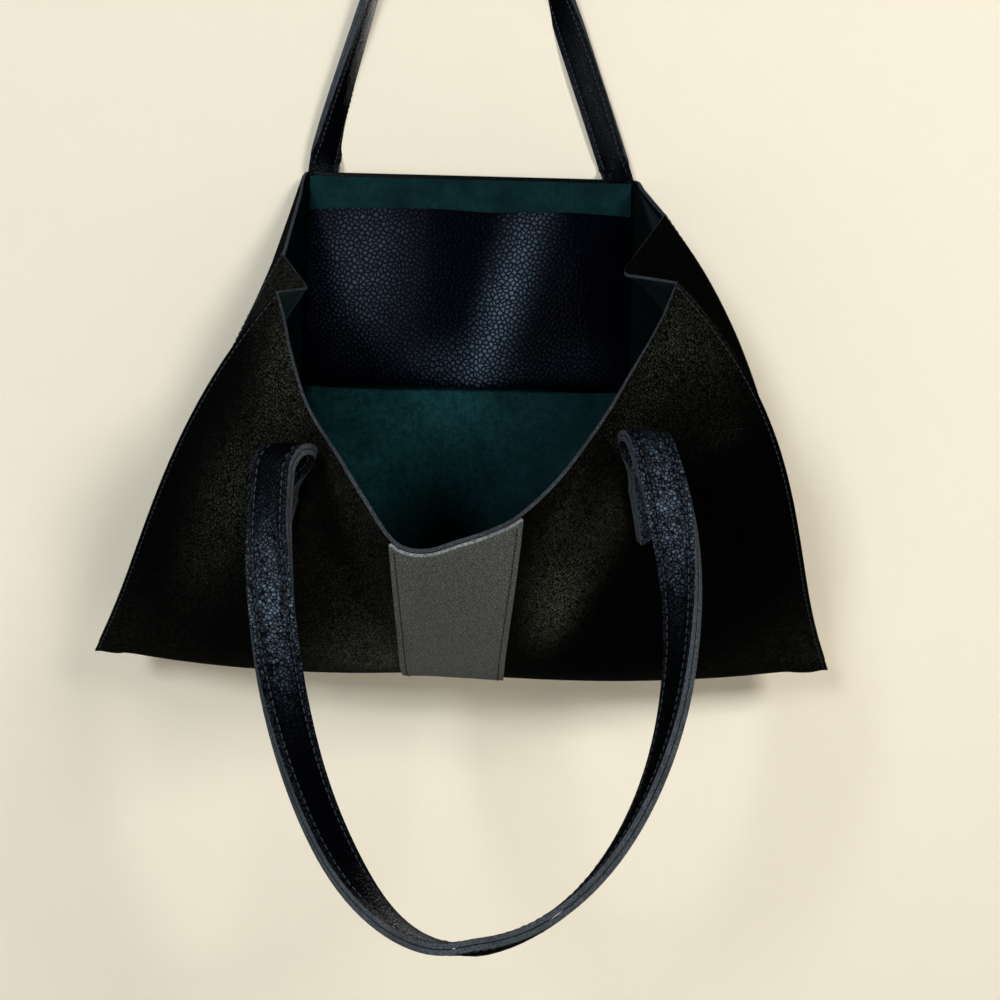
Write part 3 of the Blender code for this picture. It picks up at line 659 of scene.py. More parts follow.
def leather_sheet(name, middle, facing, thickness, finishes):
    """A sheet laid evenly to both sides of its middle surface."""
    half = facing * thickness / 2
    return cut_leather(name, middle + half, middle - half, finishes)


def joined_to(piece, body, slot, *nodes):
    """The piece moves with a body and stands for CAD nodes, which are hidden; slot is not used."""
    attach(piece, body)
    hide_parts(*nodes)


HELD_BY_SEAM = 0.014
SLACK_FROM_Y = -0.105
SLACK_SOFTNESS = 0.012
SLACK_FALL = 0.0035
SLACK_HOLLOW = 0.003
FALL_LINE = (-0.118, -0.50, 0.55, 0.022)
RIGHT_HOLLOW_LINE = (0.13, -0.49, 0.5, 0.026)
HOLLOW_X = -0.066
HOLLOW_Z = -0.53


def along_line(x, z, line):
    """Full strength on a line down the front and less beside it: place, lean and width."""
    line_x, line_z, lean, width = line
    return np.exp(-(((x - line_x + lean * (z - line_z)) / width) ** 2))


def slack(points):
    """How far soft leather stands out from its even shape, in metres; the seams hold it."""
    to_seams = [np.linalg.norm(points - points[:, [edge]], axis=-1) for edge in (0, -1)]
    free = 1 - np.exp(-((np.minimum(*to_seams) / HELD_BY_SEAM) ** 2))
    x, y, z = points[..., 0], points[..., 1], points[..., 2]
    front = 1 / (1 + np.exp((y - SLACK_FROM_Y) / SLACK_SOFTNESS))
    fall = along_line(x, z, FALL_LINE)
    hollow = np.exp(-(((x - HOLLOW_X) / 0.030) ** 2 + ((z - HOLLOW_Z) / 0.05) ** 2))
    right = along_line(x, z, RIGHT_HOLLOW_LINE)
    return free * front * (SLACK_FALL * fall - SLACK_HOLLOW * hollow - SLACK_HOLLOW * right)


ROUNDING_REACH = 0.008
ROUNDED_IN = 0.0012
ROUNDED_UP = 0.0022


def eased(grid):
    """The same surface with its sharp base corners drawn in and rounded."""
    grid = grid.copy()
    for side in (LEFT, RIGHT):
        corner = side_places(side)[3]
        near = np.exp(-(((grid - corner) ** 2).sum(axis=-1)) / ROUNDING_REACH**2)
        grid += near[..., None] * np.array((-side["sign"] * ROUNDED_IN, 0, ROUNDED_UP))
    return grid


grain = pebbled_leather(
    "black_pebbled_leather", 0.0016, (GRAIN_CREASE_SHADE, GRAIN_BLACK, GRAIN_PAINTED_SHEEN),
    shine=0.30, specular=0.10, depth=0.00014, gap=0.24, glints=(0.35, 1.0),
)
inner_suede = suede("teal_suede", SUEDE_DARK, SUEDE_TEAL, SUEDE_PAINTED_LIGHT)
raw_edge = cut_edge("raw_leather_edge", EDGE_GREY)
plan = body_grid()
plan_facing = grid_normals(plan)
skin = eased(finer(plan, FINER))
skin_facing = grid_normals(skin)
skin = skin + skin_facing * slack(skin)[..., None]
skin_facing = grid_normals(skin)
body_panel = leather_sheet(
    "body_panel_leather", skin, skin_facing, LEATHER, (grain, inner_suede, raw_edge)
)
joined_to(body_panel, "bag", "black_leather", "body_panel")
# Painted sheen and painted shadow on the face; painted light and painted shade on the suede.
mark(body_panel, "painted_sheen", face_painted_light(points_of(body_panel)))
mark(body_panel, "painted_light", inside_painted_light(points_of(body_panel)))


# The rear rim's edge
# A narrow strip of thin black leather along the top of the suede at the rear rim; it stands for the
# rim's dyed edge and in part for painted shade.
RIM_STRIP_HEIGHT = 0.0026
RIM_STRIP_THICKNESS = 0.0004
RIM_STRIP_GAP = 0.0001
rim_line = skin[0] - skin_facing[0] * (LEATHER / 2 + RIM_STRIP_GAP)
rim_rows = np.array([rim_line - np.array([0, 0, RIM_STRIP_HEIGHT * k / 2]) for k in range(3)])
rim_strip = cut_leather(
    "rear_rim_edge_strip",
    rim_rows,
    rim_rows - skin_facing[0] * RIM_STRIP_THICKNESS,
    (grain, grain, grain),
    bevel=0.0001,
)
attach(rim_strip, "bag")


# The gussets
# Two tapered sides of the same leather, sewn to the body panel and folded inwards at the mouth.
GUSSET_TUCK = 0.020
GUSSET_START = 0.03
GUSSET_ROWS = 16
GUSSET_REAR_SHARES = (0, 0.33, 0.66, 0.9)
GUSSET_FRONT_SHARES = (0.1, 0.34, 0.67, 1.0)
# How far the painted highlight on the suede reaches round each apex.
APEX_HIGHLIGHT_REACH = 0.012
SEAM_GAP = 0.0004


def gusset_grid(side):
    """Rows from the base corner up to the rim, columns from the rear seam to the front seam."""
    _, apex, _, _ = side_places(side)
    rows = []
    for k in range(GUSSET_ROWS + 1):
        height = lerp(GUSSET_START, 1.0, k / GUSSET_ROWS)
        rear = seam(side, "rear", height)
        front = seam(side, "front", height)
        tuck = side["sign"] * GUSSET_TUCK * smoothstep(height * 1.6)
        middle = lerp((rear + front) / 2 - np.array([tuck, 0, 0]), apex, height**3)
        first = rear + unit(middle - rear) * SEAM_GAP
        last = front + unit(middle - front) * SEAM_GAP
        row = [lerp(first, middle, t) for t in GUSSET_REAR_SHARES]
        rows.append(row + [lerp(middle, last, t) for t in GUSSET_FRONT_SHARES])
    return np.array(rows)


# Painted sheen on the gussets' grain, the left one paler than the right; a darker copy of the suede
# inside them is painted shade, with a painted highlight near the apex.
GUSSET_PAINTED_SHEEN = {-1: 0.34, 1: 0.02}
SHADED_SUEDE_DARK = (0.0003, 0.0018, 0.0022, 1.0)
SHADED_SUEDE_LIGHT = (0.0009, 0.0050, 0.0060, 1.0)
SHADED_SUEDE_HIGHLIGHT = (0.0160, 0.0280, 0.0420, 1.0)
shaded_suede = suede("teal_suede_painted_shade", SHADED_SUEDE_DARK, SHADED_SUEDE_LIGHT, SHADED_SUEDE_HIGHLIGHT)
for word, side in (("left", LEFT), ("right", RIGHT)):
    fold = gusset_grid(side)
    if side["sign"] > 0:
        fold = fold[:, ::-1]
    fold = eased(finer(fold, FINER))
    facing = grid_normals(fold)
    finishes = (grain, shaded_suede, raw_edge)
    gusset = leather_sheet(f"{word}_gusset_leather", fold, facing, LEATHER, finishes)
    joined_to(gusset, "bag", "black_leather", f"{word}_gusset")
    places = points_of(gusset)
    # Even painted sheen on the grain; a painted highlight on the suede near the apex.
    mark(gusset, "painted_sheen", np.full(len(places), GUSSET_PAINTED_SHEEN[side["sign"]]))
    to_apex = ((places - side_places(side)[1]) ** 2).sum(axis=1)
    mark(gusset, "painted_light", np.exp(-to_apex / APEX_HIGHLIGHT_REACH**2))


# The centre patch
# A strip of fine-grained grey leather down the middle of the front, turned under the base and sewn
# along both edges. Its cut edges are paler.
PATCH_LEATHER = 0.0016
PATCH_UNDERLAP_ROWS = 4
PATCH_GREY = (0.165, 0.180, 0.165, 1.0)
# The creases' darker grey is painted shade.
PATCH_CREASE_SHADE = (0.066, 0.073, 0.067, 1.0)
PATCH_EDGE = (0.20, 0.21, 0.21, 1.0)
patch_grain = pebbled_leather(
    "grey_fine_leather", 0.0017, (PATCH_CREASE_SHADE, PATCH_GREY, None),
    shine=0.60, specular=0.20, depth=0.00032,
)
patch_edge = cut_edge("grey_leather_edge", PATCH_EDGE)
middle = skin.shape[1] // 2
first = (REAR_ROWS + BASE_ROWS - PATCH_UNDERLAP_ROWS) * FINER
patch_lift = LEATHER / 2 + CLEARANCE + PATCH_LEATHER / 2
under_patch = (slice(first, None), slice(middle - 2 * FINER, middle + 2 * FINER + 1))
patch_facing = skin_facing[under_patch]
patch_skin = skin[under_patch] + patch_facing * patch_lift
finishes = (patch_grain, inner_suede, patch_edge)
patch = leather_sheet("centre_patch_leather", patch_skin, patch_facing, PATCH_LEATHER, finishes)
joined_to(patch, "bag", "grey_leather", "centre_patch")


# The slip pocket
# One piece folded up at the bottom, coarse grain outside, that hangs from the rear rim inside the
# bag. Its front leaf is sewn to its rear leaf along both sides and swells softly between.
POCKET_LEATHER = 0.0013
POCKET_WIDTH = 0.214
POCKET_HEAD = 0.003
POCKET_MOUTH_DROP = 0.026
POCKET_DEPTH = 0.115
POCKET_OPEN = 0.0065
POCKET_COLUMNS = 12
POCKET_LEAF_ROWS = 13
POCKET_TURN_STEPS = 6
POCKET_FINER = 2
# Painted highlights on the pocket's front leaf: middle x and z, half length and half width, lean,
# strength.
POCKET_PAINTED_HIGHLIGHTS = (
    (-0.070, -0.325, 0.048, 0.027, 0, 0.42),
    (0.026, -0.345, 0.062, 0.012, 17, 1.00),
    (0.000, -0.392, 0.014, 0.032, 0, 0.35),
    (0.075, -0.388, 0.014, 0.020, 0, 0.12),
)
# The creases' darker colour is painted shade.
COARSE_CREASE_SHADE = (0.0005, 0.0008, 0.0026, 1.0)
COARSE_BLACK = (0.0006, 0.0009, 0.0026, 1.0)
# The colour of the pocket's pebble tops where a painted highlight is marked.
COARSE_PAINTED_SHEEN = (0.115, 0.172, 0.250, 1.0)
pocket_grain = pebbled_leather(
    "coarse_pebbled_leather", 0.0030, (COARSE_CREASE_SHADE, COARSE_BLACK, COARSE_PAINTED_SHEEN),
    shine=0.34, specular=0.035, depth=0.00024, gap=0.36, flat=True, glints=(0.65, 1.0),
)


def pocket_grid():
    """Rows down the rear leaf, round the fold and up the front leaf."""
    top = RIM_Z - POCKET_HEAD
    turn = RIM_Z - POCKET_MOUTH_DROP - POCKET_DEPTH + POCKET_OPEN
    rear_y = REAR_FACE_Y - LEATHER - CLEARANCE - POCKET_LEATHER / 2
    half = POCKET_WIDTH / 2
    places = [half * k / POCKET_COLUMNS for k in range(-POCKET_COLUMNS, POCKET_COLUMNS + 1)]
    least = POCKET_LEATHER + 2 * CLEARANCE
    gaps = [lerp(least, POCKET_OPEN + POCKET_LEATHER, 1 - (x / half) ** 4) for x in places]
    rows = [[(x, rear_y, z) for x in places] for z in np.linspace(top, turn, POCKET_LEAF_ROWS)]
    for k in range(1, POCKET_TURN_STEPS):
        angle = math.pi * k / POCKET_TURN_STEPS
        z = turn - POCKET_OPEN * math.sin(angle)
        turned = 1 - math.cos(angle)
        rows.append([(x, rear_y - gap / 2 * turned, z) for x, gap in zip(places, gaps)])
    for z in np.linspace(turn, RIM_Z - POCKET_MOUTH_DROP, POCKET_LEAF_ROWS):
        rows.append([(x, rear_y - gap, z) for x, gap in zip(places, gaps)])
    return np.array(rows, float)


def pocket_swell(x, z):
    """How far the front leaf stands out or in, from two soft folds that run down it."""
    low = min(max((RIM_Z - POCKET_MOUTH_DROP - z) / POCKET_DEPTH, 0.0), 1.0)
    half = POCKET_WIDTH / 2
    folds = (-half, -0.0245, lerp(0.0155, 0.003, low), lerp(0.0645, 0.085, low), half)
    swell = (0.0, 0.0032, -0.0030, 0.0036, 0.0)
    return float(np.interp(x, folds, swell)) * lerp(1.0, 0.35, low)


pocket_plan = pocket_grid()[:, ::-1]
for row in pocket_plan[POCKET_LEAF_ROWS + POCKET_TURN_STEPS - 1:]:
    for point in row:
        point[1] -= pocket_swell(point[0], point[2])
pocket_skin = finer(pocket_plan, POCKET_FINER)
pocket_facing = grid_normals(pocket_skin)
finishes = (inner_suede, pocket_grain, raw_edge)
pocket = leather_sheet("slip_pocket_leather", pocket_skin, pocket_facing, POCKET_LEATHER, finishes)
joined_to(pocket, "pocket", "black_leather", "slip_pocket")
# Painted highlights on the front leaf.
mark(pocket, "painted_sheen", in_places(points_of(pocket), POCKET_PAINTED_HIGHLIGHTS))


# The rear handle
# Two layers of leather laid back to back and sewn near both edges, which hang on the hook. Each end
# is sewn flat to the outside of the rear panel; the strap bends where it leaves the rim.
STRAP_WIDTH = 0.020
STITCH_MARGIN = 0.0033
STITCH_INSET = STRAP_WIDTH / 2 - STITCH_MARGIN
REAR_HANDLE_JOINT_RISE = 0.006
HOOK_RADIUS = 0.020
HOOK_STEPS = 12
LEFT_FOOT = (-0.0987, math.radians(5))
RIGHT_FOOT = (0.0972, math.radians(18))
FOOT_BEND = 0.025
LEG_STRAIGHT = 0.170
TAB_LENGTH = 0.036
TAB_END_DROP = 0.080
TAB_POINTS = 14
LEFT_LEG_TURNS = ((0.0, 0), (0.05, 40), (0.10, 52), (0.20, 68), (0.30, 84), (0.36, 90), (0.5, 90))
RIGHT_LEG_TURNS = ((0.0, 0), (0.03, 30), (0.07, 24), (0.20, 24), (0.28, 60), (0.36, 90), (0.5, 90))
STRAP_STEPS = 22
STRAP_PLACES = (-1.0, -0.93, -0.80, -0.67, -0.54, -0.30, 0.0, 0.30, 0.54, 0.67, 0.80, 0.93, 1.0)
STRAP_CROWN = 0.00035
STITCH_DIP = 0.00022


def turn_at(turns, share):
    """The strap's turn at a share of its way, on a smooth curve through the given turns."""
    curve = through([(place, math.radians(angle)) for place, angle in turns], 6)
    return float(np.interp(share, curve[:, 0], curve[:, 1]))


def on_hook(radius, angle, sign=1):
    """A place on the arc over the hook."""
    across = sign * radius * math.cos(angle) - HOOK_OFFSET
    return np.array([across, 0, radius * math.sin(angle) - HOOK_RADIUS])


def rear_handle_path():
    """The loop's middle line, from its left end up over the hook and down to its right end."""
    start = RIM_Z + REAR_HANDLE_JOINT_RISE
    radius = HOOK_RADIUS + STRAP_THICKNESS / 2
    legs = []
    leans = []
    for sign, (across, tab_lean) in ((-1, LEFT_FOOT), (1, RIGHT_FOOT)):
        foot = np.array([across, 0, start])
        lean = math.atan2(sign * (foot[0] + HOOK_OFFSET) - radius, -HOOK_RADIUS - start)
        touch = on_hook(radius, lean, sign)
        first = foot + np.array([-sign * math.tan(tab_lean), 0, 1.0]) * FOOT_BEND
        last = touch - np.array([-sign * math.sin(lean), 0, math.cos(lean)]) * LEG_STRAIGHT
        pulls = (foot, first, last, touch)
        legs.append([cubic(*pulls, k / STRAP_STEPS) for k in range(STRAP_STEPS + 1)])
        leans.append(lean)
    ends = (math.pi - leans[0], leans[1])
    over = [on_hook(radius, lerp(*ends, k / HOOK_STEPS)) for k in range(1, HOOK_STEPS)]
    return np.array(legs[0] + over + legs[1][::-1])


def rear_strap_line():
    """The whole rear strap: left sewn end, loop, right sewn end, with its sides and facings."""
    path = rear_handle_path()
    tangents = np.gradient(path, axis=0)
    tangents[0] = (0, 0, 1.0)
    tangents[-1] = (0, 0, -1.0)
    tangents = units(tangents)
    facing = np.array([[0.0, -1.0, 0.0]] * len(path))
    flat_sides = np.cross(tangents, facing)
    shares = np.linspace(0, 1, len(path))
    angles = [
        turn_at(LEFT_LEG_TURNS, s) if s < 0.5 else turn_at(RIGHT_LEG_TURNS, 1 - s) for s in shares
    ]
    c = np.cos(angles)[:, None]
    s = np.sin(angles)[:, None]
    sides, facing = flat_sides * c - facing * s, facing * c + flat_sides * s
    joint = RIM_Z + REAR_HANDLE_JOINT_RISE
    ends = np.linspace(RIM_Z - TAB_END_DROP, joint - CLEARANCE, TAB_POINTS)
    flat = np.array([[0.0, -1.0, 0.0]] * len(ends))
    left = np.array([[LEFT_FOOT[0] - (joint - z) * math.tan(LEFT_FOOT[1]), 0, z] for z in ends])
    right = np.array([[RIGHT_FOOT[0] + (joint - z) * math.tan(RIGHT_FOOT[1]), 0, z] for z in ends])
    path = np.concatenate([left, path, right[::-1]])
    sides = np.concatenate([-np.cross(flat, (0, 0, 1.0)), sides, np.cross(flat, (0, 0, 1.0))])
    return path, sides, np.concatenate([flat, facing, flat])


def strap_layers(name, line, finishes):
    """The two layers of a strap, each slightly crowned outwards and drawn in along its stitches."""
    path, sides, facing = [through(part, 2) for part in line]
    half = STRAP_WIDTH / 2
    inset = STITCH_INSET / half
    made = []
    for word, turn in (("front", 1.0), ("back", -1.0)):
        surfaces = []
        for level in (CLEARANCE / 2 + STRAP_LAYER, CLEARANCE / 2):
            columns = []
            for place in STRAP_PLACES:
                rise = 0.0
                if level > CLEARANCE:
                    rise = STRAP_CROWN * max(0.0, 1 - (place / inset) ** 2)
                    rise -= STITCH_DIP * math.exp(-(((abs(place) - inset) / 0.10) ** 2))
                columns.append(path + sides * place * half + facing * turn * (level + rise))
            surfaces.append(np.stack(columns, axis=1))
        made.append(cut_leather(f"{name}_{word}_layer", surfaces[0], surfaces[1], finishes))
    return made


def strap_painted_sheen(layer, line, along_it):
    """Paints sheen on a layer's raised middle and its margins, as strongly as each place along it
    says.
    """
    path, sides, _ = line
    points = points_of(layer)
    near = np.array([np.argmin(((path - point) ** 2).sum(axis=1)) for point in points])
    place = np.abs(((points - path[near]) * sides[near]).sum(axis=1)) / (STRAP_WIDTH / 2)
    middle = np.interp(place, (0.45, 0.62), (1.0, 0.0))
    margin = np.interp(place, (0.70, 0.78, 0.97, 1.0), (0.0, 1.0, 1.0, 0.4))
    strong, even = along_it(points)
    mark(layer, "painted_sheen", middle * strong + margin * np.maximum(strong * 0.8, even))


def rear_painted_sheen(points):
    """Painted sheen on the rear handle: faint and even on its margins, and on its middle low on the
    right.
    """
    low = np.exp(-(((points[:, 2] + 0.20) / 0.035) ** 2)) * (points[:, 0] > 0)
    return 0.10 * low, np.full(len(points), 0.16)


STRAP_BLACK = (0.0008, 0.0009, 0.0014, 1.0)
# The creases' darker colour is painted shade.
STRAP_CREASE_SHADE = (0.0004, 0.0006, 0.0016, 1.0)
# The straps' pebble tops where a painted sheen is marked.
STRAP_PAINTED_SHEEN = (0.140, 0.190, 0.255, 1.0)
STRAP_EDGE = (0.058, 0.066, 0.076, 1.0)
strap_grain = pebbled_leather(
    "strap_pebbled_leather", 0.0016, (STRAP_CREASE_SHADE, STRAP_BLACK, STRAP_PAINTED_SHEEN),
    shine=0.28, specular=0.06, depth=0.00018, gap=0.24, glints=(0.25, 1.0),
)
strap_edge = cut_edge("strap_cut_edge", STRAP_EDGE)
rear_line = rear_strap_line()
layers = strap_layers("rear_handle", rear_line, (strap_grain, inner_suede, strap_edge))
for layer, nodes in zip(layers, (
    ("rear_handle_face", "rear_left_tab_lining", "rear_right_tab_lining"),
    ("rear_handle_lining", "rear_left_tab_face", "rear_right_tab_face"),
)):
    strap_painted_sheen(layer, rear_line, rear_painted_sheen)
    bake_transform(layer)
    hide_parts(*nodes)


# The front handle
# The same strap, sewn to the outside of the front, folded over below the rim and hanging in a long
# loop that turns its edge to the front at the bottom.
FRONT_TAB_SPREAD = 0.104
FRONT_TAB_END_DROP = 0.084
SEAT_GAP = 0.0004
LEFT_CROWN = (0.0117, -0.040, 0.0185)
RIGHT_CROWN = (-0.0077, -0.041, 0.0195)
LEFT_CROWN_TURN = math.radians(22)
RIGHT_CROWN_TURN = math.radians(12)
FOLD_RADIUS = 0.0085
FOLD_SPLAY = 0.002
NECK_RISE = 0.024
NECK_LIFT = 0.008
NECK_FOLD = 0.014
NECK_STEPS = 12
LOOP_DROP = 0.2284
LOOP_LEAN = 0.045
LOOP_BOTTOM_SHIFT = -0.0006
LEFT_BULGE = (0.0094, 0.094, 0.054)
RIGHT_BULGE = (0.040, 0.104, 0.077)
LEFT_TURNS = (
    (0.0, -22), (0.14, -18), (0.20, -6), (0.27, 10), (0.33, 20), (0.40, 32), (0.53, 48),
    (0.675, 61), (0.75, 72), (0.87, 98), (1.0, 122),
)
RIGHT_TURNS = (
    (0.0, -12), (0.09, -5), (0.127, 3), (0.16, 16), (0.19, 31), (0.22, 41), (0.29, 54), (0.354, 64),
    (0.437, 72), (0.574, 86), (0.72, 98), (0.86, 110), (1.0, 122),
)


def surface_at(grid, normals, row, column):
    """A place and facing between the points of a grid."""
    r = min(int(row), grid.shape[0] - 2)
    c = min(int(column), grid.shape[1] - 2)
    u, v = row - r, column - c
    point, normal = [
        lerp(lerp(part[r, c], part[r, c + 1], v), lerp(part[r + 1, c], part[r + 1, c + 1], v), u)
        for part in (grid, normals)
    ]
    return point, unit(normal)


def column_at(grid, row, sign, run):
    """The fractional column at a distance from the middle, measured along a row of the grid."""
    middle = grid.shape[1] // 2
    line = grid[row, middle:] if sign > 0 else grid[row, middle::-1]
    runs = runs_along(line)
    return middle + sign * float(np.interp(run, runs, np.arange(len(runs))))


def crown_forward(sign):
    """The way the strap points at the crown of a fold: forward, and a little outward."""
    turn = LEFT_CROWN_TURN if sign < 0 else RIGHT_CROWN_TURN
    return np.array([sign * math.sin(turn), -math.cos(turn), 0])


def front_tab_line(grid, normals, sign):
    """From a sewn end up to the crown of its fold: path, sides and facings."""
    column = column_at(grid, grid.shape[0] - 1, sign, FRONT_TAB_SPREAD)
    places = []
    for row in np.linspace(REAR_ROWS + BASE_ROWS, grid.shape[0] - 1, 60):
        point, normal = surface_at(grid, normals, row, column)
        left, _ = surface_at(grid, normals, row, column - 0.3)
        right, _ = surface_at(grid, normals, row, column + 0.3)
        places.append(np.concatenate([point, normal, unit(left - right)]))
    places = np.array(places)
    runs = runs_along(places[:, :3])
    low = runs[-1] - FRONT_TAB_END_DROP
    lift = LEATHER / 2 + CLEARANCE + STRAP_THICKNESS / 2 + SEAT_GAP
    path = []
    sides = []
    between = (TAB_LENGTH * 0.37, TAB_LENGTH * 0.64)
    for step in (0.0, STITCH_MARGIN, *between, TAB_LENGTH - STITCH_MARGIN, TAB_LENGTH):
        values = read_off(low + step, runs, places)
        path.append(values[:3] + unit(values[3:6]) * lift)
        sides.append(unit(values[6:]))
    leave = path[-1]
    along = unit(leave - path[-2])
    forward = crown_forward(sign)
    crown = leave + np.array(LEFT_CROWN if sign < 0 else RIGHT_CROWN)
    rise = leave + along * NECK_RISE + np.cross(along, sides[5]) * NECK_LIFT
    for k in range(1, NECK_STEPS + 1):
        path.append(cubic(leave, rise, crown - forward * NECK_FOLD, crown, k / NECK_STEPS))
        sides.append(lerp(sides[5], np.cross(forward, (0, 0, 1.0)), smoothstep((k - 2) / 9)))
    path = np.array(path)
    tangents = np.gradient(path, axis=0)
    tangents[-1] = forward
    tangents = units(tangents)
    sides = np.array([square_to(tangent, side) for side, tangent in zip(sides, tangents)])
    return path, sides, np.cross(tangents, sides)


def front_loop_line(left, right):
    """The hanging loop from the left fold's crown to the right one: path, sides and facings."""
    hang_y = (left[1] + right[1]) / 2 - FOLD_RADIUS
    low_z = (left[2] + right[2]) / 2 - LOOP_DROP
    middle = (left[0] + right[0]) / 2 + LOOP_BOTTOM_SHIFT
    bottom = np.array([middle, hang_y + LOOP_LEAN * LOOP_DROP, low_z])
    halves = []
    for crown, sign, shape in ((left, -1, LEFT_BULGE), (right, 1, RIGHT_BULGE)):
        bulge, fullness, flatness = shape
        forward = crown_forward(sign)
        fold = []
        for k in range(1, 5):
            angle = math.pi / 2 * k / 4
            splay = sign * FOLD_SPLAY * (k / 4) ** 2
            drop = FOLD_RADIUS * (1 - math.cos(angle))
            ahead = crown + forward * FOLD_RADIUS * math.sin(angle)
            fold.append(ahead + np.array([splay, 0, -drop]))
        hang = fold[-1]
        first = hang + np.array([sign * bulge, LOOP_LEAN * fullness, -fullness])
        last = bottom + np.array([sign * flatness, 0, 0])
        pulls = (hang, first, last, bottom)
        swept = [cubic(*pulls, k / STRAP_STEPS) for k in range(1, STRAP_STEPS + 1)]
        halves.append([crown + forward * CLEARANCE] + fold + swept)
    path = np.array(halves[0] + halves[1][-2::-1])
    tangents = np.gradient(path, axis=0)
    tangents[0] = crown_forward(-1)
    tangents[-1] = -crown_forward(1)
    tangents = units(tangents)
    runs = runs_along(path)
    sides = []
    for k, (tangent, run) in enumerate(zip(tangents, runs)):
        turns, sign = (LEFT_TURNS, -1) if k < len(path) / 2 else (RIGHT_TURNS, 1)
        if min(k, len(path) - 1 - k) < 5:
            side = square_to(tangent, np.cross(crown_forward(sign), (0, 0, -1.0 * sign)))
        else:
            side = square_to(tangent, np.cross((0, 1.0, 0), tangent))
            turn = turn_at(turns, 1 - abs(2 * run / runs[-1] - 1))
            side = side * math.cos(turn) - np.cross(tangent, side) * math.sin(turn)
        sides.append(side)
    sides = np.array(sides)
    return path, sides, np.cross(tangents, sides)


left_tab = front_tab_line(plan, plan_facing, -1)
right_tab = front_tab_line(plan, plan_facing, 1)
loop = front_loop_line(left_tab[0][-1], right_tab[0][-1])
front_line = [
    np.concatenate([left_tab[k], loop[k][1:-1], sign * right_tab[k][::-1]])
    for k, sign in enumerate((1, -1, 1))
]
layers = strap_layers("front_handle", front_line, (strap_grain, inner_suede, strap_edge))
# Heights of the painted highlight on the loop's left and right sides, and its reach.
LEFT_HIGHLIGHT_Z = -0.528
RIGHT_HIGHLIGHT_Z = -0.487
HIGHLIGHT_REACH = 0.030


def front_painted_sheen(points):
    """Painted highlight on the loop's outer face, halfway down its left side and high on its right
    side; a fainter painted sheen on its margins, weaker low down.
    """
    middle = np.where(points[:, 0] < 0, LEFT_HIGHLIGHT_Z, RIGHT_HIGHLIGHT_Z)
    strong = np.exp(-(((points[:, 2] - middle) / HIGHLIGHT_REACH) ** 2))
    return strong, np.interp(points[:, 2], (-0.66, -0.58), (0.08, 0.22))


for layer, word in zip(layers, ("face", "lining")):
    strap_painted_sheen(layer, front_line, front_painted_sheen)
    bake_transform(layer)
    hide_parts(f"front_handle_{word}", f"front_left_tab_{word}", f"front_right_tab_{word}")


# The stitching
# Waxed black thread in short straight stitches: two rows on each strap, a box on each sewn end, one
# row beside each seam, along the patch's edges and up the pocket's sides.
THREAD = 0.0008
STITCH = 0.0030
STITCH_PITCH = 0.0038
BEAD_SIZE = (STITCH / 2, THREAD / 2, THREAD * 0.42)
THREAD_LIFT = 0.0001
STRAP_THREAD_LIFT = STRAP_THICKNESS / 2 - 0.00005
THREAD_BLACK = (0.024, 0.027, 0.032, 1.0)
thread, tree, shader = new_finish("black_thread", THREAD_BLACK, 0.5, 0.5)
raised(tree, shader, noise(tree, object_places(tree), 2600.0), 0.0002, 0.6)
bpy.ops.object.select_all(action="DESELECT")
bpy.ops.mesh.primitive_uv_sphere_add(segments=8, ring_count=6, rotation=(0, QUARTER_TURN, 0))
bpy.ops.object.transform_apply(location=True, rotation=True, scale=True)
bead = bpy.context.object
bead_points = np.array([v.co[:] for v in bead.data.vertices])
bead_points[:, 0] = np.sign(bead_points[:, 0]) * np.abs(bead_points[:, 0]) ** 0.8
bead_faces = [tuple(face.vertices) for face in bead.data.polygons]
bpy.data.objects.remove(bead, do_unlink=True)


def stitches(name, rows):
    """Stitches laid along lines of places and facings, as one piece."""
    points = []
    faces = []
    for path, facing, lift in rows:
        total = length_of(path)
        count = max(1, int(total / STITCH_PITCH))
        step = total / count
        spots = (np.arange(count) + 0.5) * step
        centres = resample(path, spots)
        ahead = resample(path, spots + step * 0.4)
        behind = resample(path, spots - step * 0.4)
        ups = read_off(spots, runs_along(path), facing)
        for centre, front, back, up in zip(centres, ahead, behind, ups):
            along = unit(front - back)
            up = square_to(along, up)
            axes = (along, np.cross(up, along), up)
            shaped = sum(bead_points[:, [k]] * BEAD_SIZE[k] * axes[k] for k in range(3))
            base = len(points) * len(bead_points)
            points.append(shaped + centre + up * lift + TO_HOOK)
            faces += [tuple(base + k for k in face) for face in bead_faces]
    mesh = bpy.data.meshes.new(name)
    mesh.from_pydata(np.concatenate(points).tolist(), [], faces)
    mesh.update()
    mesh.materials.append(thread)
    mesh.shade_smooth()
    piece = bpy.data.objects.new(name, mesh)
    bpy.context.scene.collection.objects.link(piece)
    return piece


def beside(edge, inner, margin):
    """A line beside an edge, inside it by the margin."""
    return edge + units(inner - edge) * margin


def edge_row(name, body, surface, facing, column, leather):
    """One row of stitches on a piece, beside its first (0) or last (-1) column."""
    inner = surface[:, 1 if column == 0 else -2]
    line = beside(surface[:, column], inner, STITCH_MARGIN)
    row = stitches(f"{name}_thread", [(line, facing[:, column], leather / 2 + THREAD_LIFT)])
    joined_to(row, body, "black_thread", f"{name}_stitches")


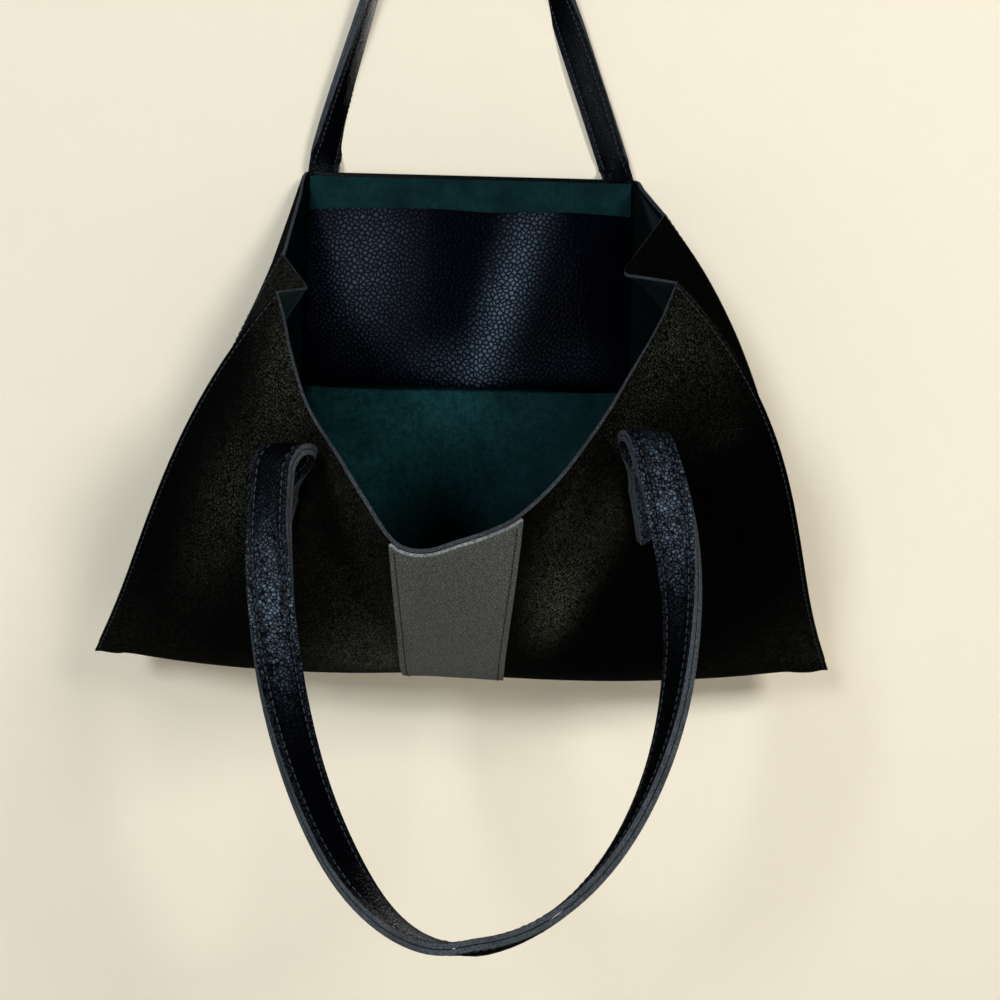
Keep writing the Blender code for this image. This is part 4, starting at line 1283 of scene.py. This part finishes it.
rear_rows = slice(0, REAR_ROWS * FINER + 1)
front_rows = slice((REAR_ROWS + BASE_ROWS) * FINER, None)
for word, rows in (("rear", rear_rows), ("front", front_rows)):
    for edge_word, column in (("left", 0), ("right", -1)):
        edge_row(f"{edge_word}_{word}_seam", "bag", skin[rows], skin_facing[rows], column, LEATHER)
for word, column in (("left", 0), ("right", -1)):
    edge_row(f"patch_{word}", "bag", patch_skin[1:-1], patch_facing[1:-1], column, PATCH_LEATHER)
pocket_rows = slice(-(POCKET_LEAF_ROWS - 1) * POCKET_FINER - 1, None)
for word, column in (("right", 0), ("left", -1)):
    leaf, leaf_facing = pocket_skin[pocket_rows], pocket_facing[pocket_rows]
    edge_row(f"pocket_{word}", "pocket", leaf, leaf_facing, column, POCKET_LEATHER)


def strap_rows(line, shift):
    """One row of stitches along a strap, on both its sides."""
    path, sides, facing = line
    return [(path + sides * shift, way * facing, STRAP_THREAD_LIFT) for way in (1, -1)]


rear_loop = [part[TAB_POINTS:-TAB_POINTS] for part in rear_line]
front_points = len(left_tab[0])
front_loop = [part[front_points:-front_points] for part in front_line]
for name, line in (("rear_handle", rear_loop), ("front_handle", front_loop)):
    for word, shift in (("left", -STITCH_INSET), ("right", STITCH_INSET)):
        row = stitches(f"{name}_{word}_thread", strap_rows(line, shift))
        joined_to(row, name, "black_thread", f"{name}_{word}_stitches")


def sewn_end(line, count):
    """The box of stitches round a sewn end and the rows on from it, on the outward side."""
    path, sides, facing = [part[:count] for part in line]
    shifts = (-STITCH_INSET, STITCH_INSET)
    made = [(path + sides * shift, facing, STRAP_THREAD_LIFT) for shift in shifts]
    runs = runs_along(path)
    for run in (STITCH_MARGIN, TAB_LENGTH - STITCH_MARGIN):
        middle, side, up = [read_off(run, runs, part) for part in (path, sides, facing)]
        across = np.array([middle - side * STITCH_INSET, middle + side * STITCH_INSET])
        made.append((across, np.array([up, up]), STRAP_THREAD_LIFT))
    return made


backed = [rear_line[0], rear_line[1], -rear_line[2]]
for place, line, count in (
    ("rear_left", backed, TAB_POINTS),
    ("rear_right", [part[::-1] for part in backed], TAB_POINTS),
    ("front_left", front_line, front_points),
    ("front_right", [part[::-1] for part in front_line], front_points),
):
    box = stitches(f"{place}_end_thread", sewn_end(line, count))
    joined_to(box, "bag", "black_thread", f"{place}_tab_stitches")

bpy.context.scene.view_settings.view_transform = "Standard"
